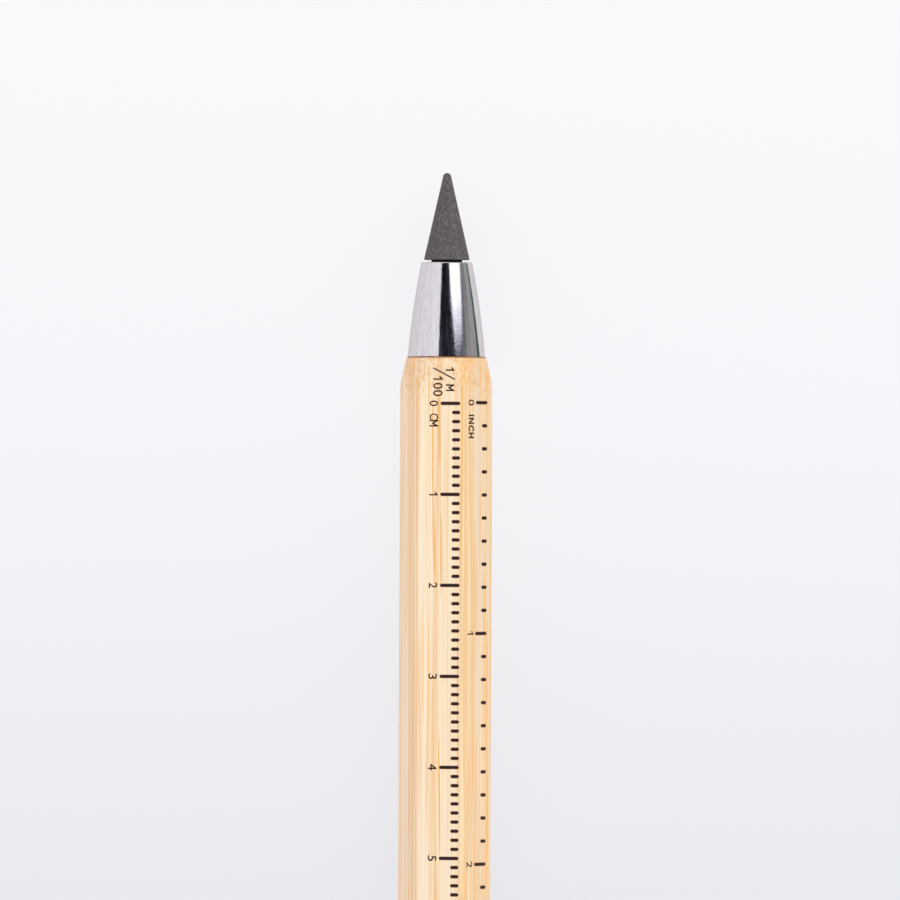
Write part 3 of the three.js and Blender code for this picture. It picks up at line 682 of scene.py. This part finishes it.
columns = hexagon_columns(half_flats, edge_radius, flat_steps=46, edge_steps=10)
across = hexagon_radius(columns - pi / 2)
length, turned_end = barrel_rear - barrel_front, shoulder + 0.2
depth = np.concatenate([np.linspace(0, broken_edge, 6), np.linspace(0.16, turned_end, 66)])
middle_rows = np.linspace(turned_end, length - turned_end, 12)[1:-1]
ends = softer(across[None, :], shoulder_curve(depth)[:, None])
middle = np.broadcast_to(across, (len(middle_rows), len(columns)))
skin = np.concatenate([ends, middle, ends[::-1]])
stations = barrel_front + np.concatenate([depth, middle_rows, length - depth[::-1]])
front_floor, front_bore, front_mouth = barrel_front + 9.1, 3.23, 3.3
level_floor, rear_mouth, bore_break = vial_front - 0.1, 3.1, 0.12
front_hole = np.array([(front_floor, 0), (front_floor, front_bore),
                       (barrel_front + bore_break, front_bore), (barrel_front, front_mouth)])
rear_hole = np.array([(barrel_rear, rear_mouth), (barrel_rear - bore_break, collar_bore),
                      (level_floor, collar_bore), (level_floor, 0)])
holes = [np.repeat(hole[:, 1:], len(columns), 1) for hole in (front_hole, rear_hole)]
radius = np.concatenate([holes[0], skin, holes[1]])
stations = np.concatenate([front_hole[:, 0], stations, rear_hole[:, 0]])[:, None]
rod = mesh_of(round_axis(stations, radius, columns), grid(len(stations), len(columns)), sharp=40)

window_length, window_width, window_flare, window_steps = 12.0, 4.0, 0.18, 72
angle = circle(window_steps)
round_ends = np.stack([np.cos(angle), np.sin(angle)], 1)
straight = np.where(round_ends[:, 0] > 0, 1, -1) * (window_length - window_width) / 2


def window_ring(flare, height):
    """The slot's outline, widened by the flare, at a height above the axis."""
    half = window_width / 2 + flare
    return np.stack([vial_middle + straight + half * round_ends[:, 0], half * round_ends[:, 1],
                     np.full(window_steps, height)], 1)


wide = window_flare * 1.1
levels = [(0, 0.5), (0, half_flats - window_flare), (window_flare * 0.3, half_flats - window_flare * 0.35),
          (wide, half_flats + 0.02), (wide, half_flats + 2)]
window = mesh_of([window_ring(*level) for level in levels], closed_grid(len(levels), window_steps))
barrel = with_hollows(rod, window, sharp=40)
piece("barrel_skin", barrel, bamboo, "pencil_body", "bamboo", "barrel")

# %% [markdown]
# ## Two-ended driver bit
#
# The bit starts as a bar of hexagonal tool steel. A lathe turns both ends down to round shanks, which
# leaves curved scallops on the hexagon, as on the barrel. Then four flutes are milled into one end for
# cross-head screws, and two sloping flats into the other for slotted ones.

# %% Driver bit
bit_front, bit_rear = span("driver_bit")
shank, bit_flat, bit_edge, bit_point = 1.75, 2.0, 0.08, 0.5
hex_front, hex_rear, hex_reach = bit_front + 6.0, bit_rear - 6.0, 2 * bit_flat / sqrt(3) + 0.02
bit_line = rounded([(bit_front, 0), (bit_front, shank, 0.1), (hex_front - 0.8, shank, 0.3),
                    (hex_front, hex_reach), (hex_rear, hex_reach), (hex_rear + 0.8, shank, 0.3),
                    (bit_rear - 2.6, shank, 0.4), (bit_rear, bit_point, 0.08), (bit_rear, 0)])
fine = np.concatenate([np.linspace(a, b, 12, endpoint=False) for a, b in zip(bit_line[:-1], bit_line[1:])])
along, lathe = fine[:, :1], fine[:, 1:]
columns = hexagon_columns(bit_flat, bit_edge, flat_steps=16, edge_steps=4)
radius = softer(hexagon_radius(columns - pi / 2, bit_flat, bit_edge), lathe, blend=0.02)
radius[lathe[:, 0] == 0] = 0
points = round_axis(along, radius, columns)
points = np.concatenate([points, [[(bit_rear, 0, 0)] * len(columns)]])
bar = mesh_of(points, grid(len(points), len(columns)), sharp=30)


def flute(quarter):
    """A square bar, one edge 0.36 mm from the axis at the point and tilted so that it runs out behind."""
    side, length, web, tilt = 7.0, 10.4, 0.36, 0.24
    corners = turn((box - 0.5) * (length, side, side), -45) + (0, side / sqrt(2) + web, 0)
    c, s = cos(tilt), sin(tilt)
    corners = corners @ np.array([[c, -s, 0], [s, c, 0], [0, 0, 1]]) + (bit_rear, 0, 0)
    return mesh_of(turn(corners, 90 * quarter), box_faces)


def blade_flat(side):
    """A wedge that leaves half of the 0.6 mm blade, parallel for 0.9 mm and then running out over 3 mm."""
    half, parallel, run_out, beyond, broad = 0.3, 0.9, 3.9, 0.1, 3.5
    outline = [(bit_front - beyond, half), (bit_front + parallel, half),
               (bit_front + run_out, shank + beyond), (bit_front - beyond, 2 * shank)]
    wedge = [(x, side * y, z) for z in (-broad, broad) for x, y in outline]
    return mesh_of(wedge, box_faces)


driver = with_hollows(bar, *[flute(i) for i in range(4)], blade_flat(1), blade_flat(-1), sharp=30)
piece("bit_skin", driver, tool_steel, "bit", "steel", "driver_bit")

# %% [markdown]
# ## Pocket clip
#
# The clip is a strip of spring steel 0.6 mm thick, bent twice and plated. Its middle line is a leg, a bend,
# a long strap that leans in a little, a dip to the wood and a lifted lip. Rings with the strip's rounded
# section follow that line. The strip narrows towards its free end, which is cut to a half circle.

# %% Pocket clip
clip_height, clip_drop, clip_bend, clip_half, clip_gap, clip_reach = 2.7, 0.5, 1.0, 0.3, 0.05, 34
top, touch = half_flats + clip_height, half_flats + clip_gap + clip_half
low, touch_at = top - clip_drop, leg_at - clip_reach
dip_at, tail_half, root_half, edge_round = touch_at + 4.5, 1.6, 1.9, 0.13


def bezier(steps, *controls):
    """Points of a Bezier curve: each control point weighs n over k times t^k times (1 - t)^(n - k)."""
    t, n = np.linspace(0, 1, steps)[:, None], len(controls) - 1
    return sum(comb(n, k) * t ** k * (1 - t) ** (n - k) * np.array(p) for k, p in enumerate(controls))


angle = np.linspace(0, pi / 2, 16)[:, None]
bend = (leg_at - clip_bend, top - clip_bend) + clip_bend * np.hstack([np.cos(angle), np.sin(angle)])
line = np.concatenate([
    bezier(4, (leg_at, collar_radius - 0.85), (leg_at, top - 2), (leg_at, top - clip_bend))[:-1], bend,
    bezier(40, (leg_at - clip_bend, top), ((leg_at + dip_at) / 2, top - clip_drop / 2), (dip_at, low))[1:],
    bezier(24, (dip_at, low), (dip_at - 2.25, low), (touch_at + 2.25, touch), (touch_at, touch))[1:],
    bezier(24, (touch_at, touch), (touch_at - 1.3, touch), (touch_at - 2.6, touch + 1.0))[1:]])
run = np.gradient(line, axis=0)
run /= np.linalg.norm(run, axis=1)[:, None]
normal = np.stack([-run[:, 1], run[:, 0]], 1)
along, lift = line[:, :1], line[:, 1:]
half_width = np.interp(along, [along[-1, 0], leg_at], [tail_half, root_half])
into_round = np.clip(along[-1] + tail_half - along, 0, tail_half - 0.002)
half_width = np.where(into_round > 0, np.sqrt(tail_half ** 2 - into_round ** 2), half_width)
corner = np.minimum(edge_round, half_width * 0.5)
turns = np.concatenate([np.linspace(0, pi / 2, 5) + i * pi / 2 for i in range(4)])
sideways = np.repeat([1, -1, -1, 1], 5) * (half_width - corner) + corner * np.cos(turns)
outwards = np.repeat([1, 1, -1, -1], 5) * (clip_half - corner) + corner * np.sin(turns)
strip = np.stack([along + normal[:, :1] * outwards, sideways, lift + normal[:, 1:] * outwards], -1)
clip = mesh_of(turn(strip, clip_angle), closed_grid(len(line), len(turns)))
piece("clip_strip", clip, nickel, "clip", "polished_nickel", "pocket_clip")

# %% [markdown]
# ## Spirit level
#
# A tube of acrylic, closed in front and plugged behind, is nearly full of liquid. Its bore is a little
# wider in the middle, so the bubble settles there when the pencil lies level. Two printed rings show where
# the bubble's ends belong. The liquid's skin overlaps the tube's wall a little, because two clear bodies
# with a film of air between them wouldn't let the light through as one. The liquid has no hollow for the
# bubble: the bubble's own skin is the hollow, so it can run along the tube.

# %% Vial, liquid, bubble and index rings
vial_radius = reach("level_vial")
bore_front, bore_radius = vial_front + 0.75, vial_radius - 0.85
barrelled, sunk, end_gap = 0.1, 0.012, 0.01
bore = bulged((bore_front, bore_radius), (span("level_plug")[0], bore_radius), barrelled, 30)
tube = rounded([(vial_front, 0), (vial_front, vial_radius, 0.3), (vial_rear, vial_radius, 0.1),
                (vial_rear, bore_radius), *bore[::-1], (bore_front, 0)])
piece("vial_tube", turned(tube, 144), acrylic, "pencil_body", "clear_acrylic", "level_vial")

fill = np.vstack([[(bore[0, 0] + end_gap, 0)], bore + (0, sunk), [(bore[-1, 0] - end_gap, 0)]])
fill[1, 0], fill[-2, 0] = fill[0, 0], fill[-1, 0]
piece("liquid_fill", turned(fill, 96), liquid, "pencil_body", "dyed_liquid", "level_liquid")

bubble_long, bubble_high, bubble_axis = 1.8, 0.5, 1.55
from_end = np.linspace(0, pi, 33)[:, None]
egg = round_axis(-bubble_long * np.cos(from_end), np.sin(from_end), circle(48))
egg = egg * (1, 1, bubble_high) + (vial_middle, 0, bubble_axis)
piece("bubble_skin", mesh_of(egg, grid(33, 48)), air, "bubble", "air", "level_bubble")

ring_apart, ring_broad, ring_top = 2.15, 0.17, vial_radius + 0.03
for number, at in enumerate((vial_middle - ring_apart, vial_middle + ring_apart)):
    band = rounded([(at - ring_broad, vial_radius), (at - ring_broad, ring_top, 0.01),
                    (at + ring_broad, ring_top, 0.01), (at + ring_broad, vial_radius)])
    piece(f"index_ring_{number}", turned(band, 96, closed=True), rubber, "pencil_body", "black_rubber")

# %% [markdown]
# ## Rulers
#
# A hot stamp burns the scales into the oiled wood and leaves them black. The centimetre ruler runs along
# the top flat and stops before the level's window, and the inch ruler runs along the next flat. In front of
# the centimetres stands the fraction of the metre that the flat's numbers mean. A mark is drawn flat first,
# in millimetres behind the barrel's front end and across the flat. Then it is draped over the wood: the
# height is that of the flat, or of the turned end where that is lower.

# %% Marks and lettering
letter_core, letter_thick, longest_edge, above_wood = 0.34, 0.16, 0.25, 0.008


def stamped(text, length, height, heavier=0.0, spacing=1.0):
    """Outlines of text with its middle at (0, 0), `length` along and `height` across, in millimetres."""
    curve = bpy.data.curves.new("text", "FONT")
    curve.body, curve.resolution_u, curve.offset, curve.space_character = text, 4, heavier, spacing
    holder = put("text", curve)
    work = bmesh.new()
    work.from_mesh(final_mesh(holder))
    bpy.data.objects.remove(holder)
    places = np.array([v.co[:2] for v in work.verts])
    low, high = places.min(0), places.max(0)
    scale = (length, height) / (high - low)
    for _ in range(4):
        bmesh.ops.triangulate(work, faces=work.faces)
        long_edges = [e for e in work.edges if e.calc_length() * scale[1] > longest_edge]
        bmesh.ops.subdivide_edges(work, edges=long_edges, cuts=1)
    flat = (np.array([v.co[:2] for v in work.verts]) - (low + high) / 2) * scale
    faces = np.array([[v.index for v in face.verts] for face in work.faces])
    work.free()
    return flat, faces, np.full(len(flat), letter_core)


def bar_mark(length, thick=0.4):
    """A straight mark with round ends, from 0 to `length` across the flat, in rings from rim to core."""
    half, side_steps, end_steps, rings = thick / 2, 10, 14, 5
    side, angle = np.linspace(half, length - half, side_steps), np.linspace(0, pi, end_steps)
    facing = np.concatenate([np.zeros(side_steps), angle, np.full(side_steps, pi), angle + pi])
    middle = np.concatenate([side, np.full(end_steps, length - half), side[::-1], np.full(end_steps, half)])
    core = np.linspace(0, 1, rings)[:, None]
    shrunk = half * (1 - core)
    points = np.stack([shrunk * np.cos(facing), middle + shrunk * np.sin(facing)], -1)
    quads = np.array(grid(rings, len(facing)))
    triangles = np.concatenate([quads[:, :3], quads[:, (0, 2, 3)]])
    return points.reshape(-1, 2), triangles, np.repeat(core[:, 0], len(facing))


def shifted(mark, along, across):
    """Moves a mark along and across the flat."""
    points, faces, core = mark
    return points + (along, across), faces, core


def joined(marks):
    """Several marks as one."""
    points, faces, core = zip(*marks)
    starts = np.cumsum([0] + [len(some) for some in points])
    faces = [some + start for start, some in zip(starts, faces)]
    return np.concatenate(points), np.concatenate(faces), np.concatenate(core)


def stroke(start, end, thick=letter_thick):
    """A thin straight line with round ends from one point to another."""
    start, end = np.array(start), np.array(end)
    along = (end - start) / np.linalg.norm(end - start)
    points, faces, core = bar_mark(np.linalg.norm(end - start) + thick, thick)
    across = np.array([along[1], -along[0]])
    points = start + points[:, :1] * across + (points[:, 1:] - thick / 2) * along
    return points, faces, core * 0 + letter_core


# The built-in font has a bare bar for its 1, and its 4 and M are too fine for a stamp, so these are drawn
# with strokes. Their corners are given along and across, as shares of half the height.
strokes = {"1": ((0.1, -1), (0.1, 1), (-0.42, 0.5)),
           "4": ((0.25, -1), (0.25, 1), (-0.6, -0.35), (0.6, -0.35)),
           "M": ((-0.62, -1), (-0.62, 1), (0, -0.3), (0.62, 1), (0.62, -1))}


def letter(sign, length, height):
    """One letter or digit, from the font or from strokes."""
    if sign not in strokes:
        return stamped(sign, length, height, 0.012)
    corners = [(x * height / 2, y * (height / 2 - 0.07)) for x, y in strokes[sign]]
    return joined([stroke(a, b) for a, b in zip(corners[:-1], corners[1:])])


def figure(number, height):
    """A number with its middle at (0, 0)."""
    pitch, wide = 0.76 * height, 0.66 * height
    middles = (np.arange(len(number)) - (len(number) - 1) / 2) * pitch
    return joined([shifted(letter(digit, wide, height), x, 0) for x, digit in zip(middles, number)])


def draped(name, marks, degrees):
    """One piece from many marks, laid just above the wood of the flat at the angle given."""
    points, faces, core = joined(marks)
    along, across = points.T
    lowest = shoulder_curve(np.clip(along, broken_edge, shoulder))
    height = np.where(along < shoulder, np.sqrt(lowest ** 2 - across ** 2), half_flats)
    height = np.minimum(height, half_flats) + above_wood
    corners = points[faces]
    downwards = np.linalg.det(corners[:, 1:] - corners[:, :1]) < 0
    faces[downwards] = faces[downwards][:, ::-1]
    mesh = raw_mesh(turn(np.stack([barrel_front + along, across, height], 1), degrees), faces.tolist())
    mesh.attributes.new("core", "FLOAT", "POINT").data.foreach_set("value", core)
    merge(mesh, False)
    piece(name, mesh, ink, "pencil_body", "bamboo")


def ruler(first, unit, last, low, long_low, high, digit_at, digit_height):
    """Marks of a ruler: a short one for each tenth of a unit, a long one with a number for each unit."""
    starts = [low if i % 10 else long_low for i in range(10 * last + 1)]
    marks = [shifted(bar_mark(high - at), first + i * unit / 10, at) for i, at in enumerate(starts)]
    numbers = [shifted(figure(str(i), digit_height), first + i * unit, digit_at) for i in range(last + 1)]
    return marks + numbers


centimetres = ruler(first=5.12, unit=10.0, last=7, low=1.27, long_low=0.0, high=2.2, digit_at=-0.75,
                    digit_height=0.95)
fraction = [shifted(figure("1", 0.94), 1.42, 1.04), stroke((1.25, -0.77), (2.46, 1.53), 0.15),
            shifted(figure("100", 1.05), 3.2, -0.3), shifted(letter("M", 0.8, 0.94), 3.4, 1.04)]
unit_cm = [shifted(letter("C", 0.66, 0.95), 6.56, -0.735), shifted(letter("M", 0.7, 0.95), 7.3, -0.735)]
draped("centimetre_ruler", centimetres + fraction + unit_cm, 0)
inches = ruler(first=5.02, unit=25.4, last=3, low=0.63, long_low=-0.45, high=1.59, digit_at=-1.28,
               digit_height=1.03)
unit_inch = [shifted(stamped("INCH", 2.6, 1.0, 0.045, 1.2), 7.65, -1.28)]
draped("inch_ruler", inches + unit_inch, 60)

# %% [markdown]
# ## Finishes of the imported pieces
#
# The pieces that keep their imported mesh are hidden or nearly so, but each still gets its own finish.

# %% Materials of the remaining nodes
plug = moulded("moulded_clear_plug", "EFF5E6", 0.12, 0.8, 0.0005, IOR=1.49, **clear)
magnet = turned_metal("nickel_plated_magnet", "C2BFB6", 0.2)
left = {"tip_holder": brass, "level_plug": plug, "vial_cushion": silicone, "bit_magnet": magnet,
        "stylus_core": brass}
for node, material in left.items():
    mesh = bpy.data.objects[node].data
    mesh.materials.clear()
    mesh.materials.append(material)
print("kept meshes:", list(left))

# %% [markdown]
# ## Studio
#
# The pencil lies on pale paper that darkens a little towards its rear end. A large softbox hangs over its
# right side and gives the wood soft shadows and the nose its bright band. Polished metal shows what is
# round it and little else, so the dark band beside the bright one needs something dark to reflect: a card
# above the pencil, where the camera is. More cards that only reflections see give the grey band, and shape
# the cap and the clip from the side. For reflections alone the paper carries a painted reflection: a
# thin green line and grey beyond it, which the nose mirrors.

# %% Floor, light and cards
bpy.context.scene.view_settings.view_transform = "Standard"


def paper():
    """White paper that fades a little towards the pencil's rear end. The eye sees it brightened, with a
    trace of the pencil's shadow left. For reflections alone it carries a painted reflection: pale up to a
    slanting line beside the nose, then a dark green band, and grey beyond."""
    material, tree, shader, place = finish("white_background_paper", "F4F4F6", Roughness=0.9)
    x, slant = add(tree, "SeparateXYZ", (place,)), 0.163
    fade = add(tree, "MapRange", (x, -0.094, 0.006))
    shade = add(tree, "ValToRGB", (fade,), stops=((0, "F9F9FB"), (0.45, "F6F6FA"), (1, "E9EAEF")))
    beside = add(tree, "Math", (x, slant, x.node.outputs["Y"]), operation="MULTIPLY_ADD")
    past_line = add(tree, "MapRange", (beside, 1 * mm, 21 * mm))
    # Painted reflection, seen only by glossy rays: pale, then a dark green band, then grey.
    edge = ((0.095, "F0EBEF"), (0.12, "1F4F35"), (0.36, "1F4F35"), (0.39, "A09E9E"))
    mirrored = add(tree, "ValToRGB", (past_line,), stops=edge)
    beyond_nose = add(tree, "MapRange", (x, -0.03, -0.01))
    mirrored = add(tree, "Mix", {0: beyond_nose, 6: mirrored, 7: linear("FAF5FA")}, **RGBA)
    glossy = add(tree, "LightPath", out="Is Glossy Ray")
    feed(shader, {"Base Color": add(tree, "Mix", {0: glossy, 6: shade, 7: mirrored}, **RGBA)})
    share = add(tree, "Math", (glossy.node.outputs["Is Camera Ray"], 0.88), operation="MULTIPLY")
    both = add(tree, "MixShader", (share, shader.outputs[0], add(tree, "Emission", (shade,))))
    feed(tree.nodes["Material Output"], (both,))
    return material


def plane(name, corners, material, mirrored_only=True):
    """A flat four-sided sheet that only the studio uses. It can be there for reflections alone."""
    mesh = bpy.data.meshes.new(name)
    mesh.from_pydata([tuple(c) for c in corners], [], [(0, 1, 2, 3)])
    mesh.uv_layers.new(name="UVMap")
    mesh.materials.append(material)
    made = put(name, mesh)
    made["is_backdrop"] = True
    if mirrored_only:
        made.visible_camera = made.visible_diffuse = made.visible_shadow = made.visible_transmission = False


def set_up(made, axes, place):
    """Lays an object's own axes along three directions and moves it to its place."""
    made.matrix_world = Matrix(axes).transposed().to_4x4()
    made.matrix_world.translation = place


def bare_tree(made):
    """The node tree of a new material or world, with nothing in it yet."""
    made.use_nodes = True
    made.node_tree.nodes.clear()
    return made.node_tree


plane("paper_floor", [(-2, -2, 0), (2, -2, 0), (2, 2, 0), (-2, 2, 0)], paper(), False)


def card(name, colours, low, high, start=-1.4, stop=1.4, distance=0.95):
    """A card that only reflections see. It spans the angles from low to high, from the zenith towards +Y,
    and the places from start to stop along the pencil. It changes beside the nose from the first colour to
    the second, and blotches of the third lie on it."""
    material = bpy.data.materials.new(name)
    tree = bare_tree(material)
    place = add(tree, "TexCoord", out="Object")
    x = add(tree, "SeparateXYZ", (place,))
    tone = add(tree, "ValToRGB", (add(tree, "MapRange", (x, -0.45, -0.2)),), stops=enumerate(colours[:2]))
    spot = add(tree, "Mapping", {"Vector": place, "Scale": cells(90, 40)})
    noise = add(tree, "TexNoise", {"Vector": spot, "Scale": 1, "Detail": 3})
    blotch = add(tree, "MapRange", (noise, 0.5, 0.62))
    glow = add(tree, "Mix", {0: blotch, 6: tone, 7: linear(colours[2])}, **RGBA)
    add(tree, "OutputMaterial", (add(tree, "Emission", (glow,)),))
    corners = ((start, low), (stop, low), (stop, high), (start, high))
    plane(name, [(x, distance * sin(radians(a)), distance * cos(radians(a))) for x, a in corners], material)


card("dark_card", ("0A0A0E", "0B0C12", "4C4E5C"), -15, 58)
card("grey_card", ("5A5C5C", "7A7A7E", "66666C"), 58, 72)
card("pale_grey_card", ("6E7271", "A09F9F", "8F8E8E"), 72, 90)
card("bright_card", ("FFFBFF", "FFFBFF", "FAF6FA"), -42, -15, stop=0.03)
card("low_side_card", ("3A3D44", "3A3D44", "4A4E58"), -82, -64, 0.03)
card("high_side_card", ("70747C", "70747C", "5C6068"), -52, -36, 0.03)


def cloth():
    """The softbox's cloth as metal mirrors it: narrower and weaker towards the pencil's rear, like a flame,
    and fading out in a soft rim."""
    material = bpy.data.materials.new("softbox_cloth")
    tree = bare_tree(material)
    middle_line, strength = 0.472, 2.0
    along = add(tree, "SeparateXYZ", (add(tree, "UVMap"),))
    half_width = add(tree, "MapRange", (along, 0.42, 0.97, 0.51, 0.08))
    away = add(tree, "Math", (along.node.outputs["Y"], -middle_line), operation="ADD")
    away = add(tree, "Math", (away,), operation="ABSOLUTE")
    away = add(tree, "Math", (away, half_width), operation="DIVIDE")
    rim = add(tree, "MapRange", (away, 0.68, 1.0, 1, 0))
    fade = ((0.42, "F8F8FF"), (0.6, "DCDCE6"), (0.67, "BCBCC6"), (0.72, "ABABB5"), (0.76, "84848E"),
            (0.8, "5A5A66"), (0.86, "30303A"))
    glow = add(tree, "Emission", (add(tree, "ValToRGB", (along,), stops=fade), strength))
    add(tree, "OutputMaterial", (add(tree, "MixShader", (rim, add(tree, "BsdfTransparent"), glow)),))
    return material


lamp = bpy.data.lights.new("softbox", "AREA")
lamp.shape, lamp.size, lamp.size_y, lamp.energy = "ELLIPSE", 0.273, 0.552, 0.75
softbox = put("softbox", lamp)
softbox.visible_glossy = False
tilt, side, lamp_distance = radians(24), radians(47), 0.6
aim = Vector((-sin(tilt), cos(tilt) * sin(side), cos(tilt) * cos(side)))
along = Vector((cos(tilt), sin(tilt) * sin(side), sin(tilt) * cos(side)))
sideways = aim.cross(along)
middle = Vector((-0.06, 0, 0)) + aim * lamp_distance
set_up(softbox, (along, sideways, aim), middle)
cloth_share, rear_share = 1.84, 1.5
half_x, half_y = along * lamp.size / cloth_share, sideways * lamp.size_y / cloth_share
ends = ((-1, -1), (rear_share, -1), (rear_share, 1), (-1, 1))
plane("softbox_cloth", [middle + u * half_x + v * half_y for u, v in ends], cloth())

world = bpy.data.worlds.new("studio")
bpy.context.scene.world = world
tree = bare_tree(world)
glossy = add(tree, "LightPath", out="Is Glossy Ray")
soft = add(tree, "Background", (linear("FFFFFF"), 0.9))
mirrored = add(tree, "Background", (linear("F7F1F7"), 1))
add(tree, "OutputWorld", (add(tree, "MixShader", (glossy, soft, mirrored)),))
print("softbox at", [round(v, 3) for v in softbox.location])

# %% [markdown]
# ## Camera
#
# A long lens high above the pencil sees it almost without perspective. It looks 7.9 degrees from the right,
# so a little more of the inch flat shows than of the plain one.

# %% Camera and finish
lean, roll, camera_distance = radians(7.9), radians(0.24), 1.378
right = Vector((-sin(roll), cos(roll) * cos(lean), -cos(roll) * sin(lean)))
up = Vector((-cos(roll), -sin(roll) * cos(lean), sin(roll) * sin(lean)))
back = right.cross(up)
lens = bpy.data.cameras.new("camera")
lens.lens, lens.sensor_width, lens.clip_end = 500, 36, 10
camera = put("camera", lens)
target = Vector((-0.04383, 0, axis_height * mm)) + right * 0.00044
set_up(camera, (right, up, back), target + back * camera_distance)
bpy.context.scene.camera = camera

low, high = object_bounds()
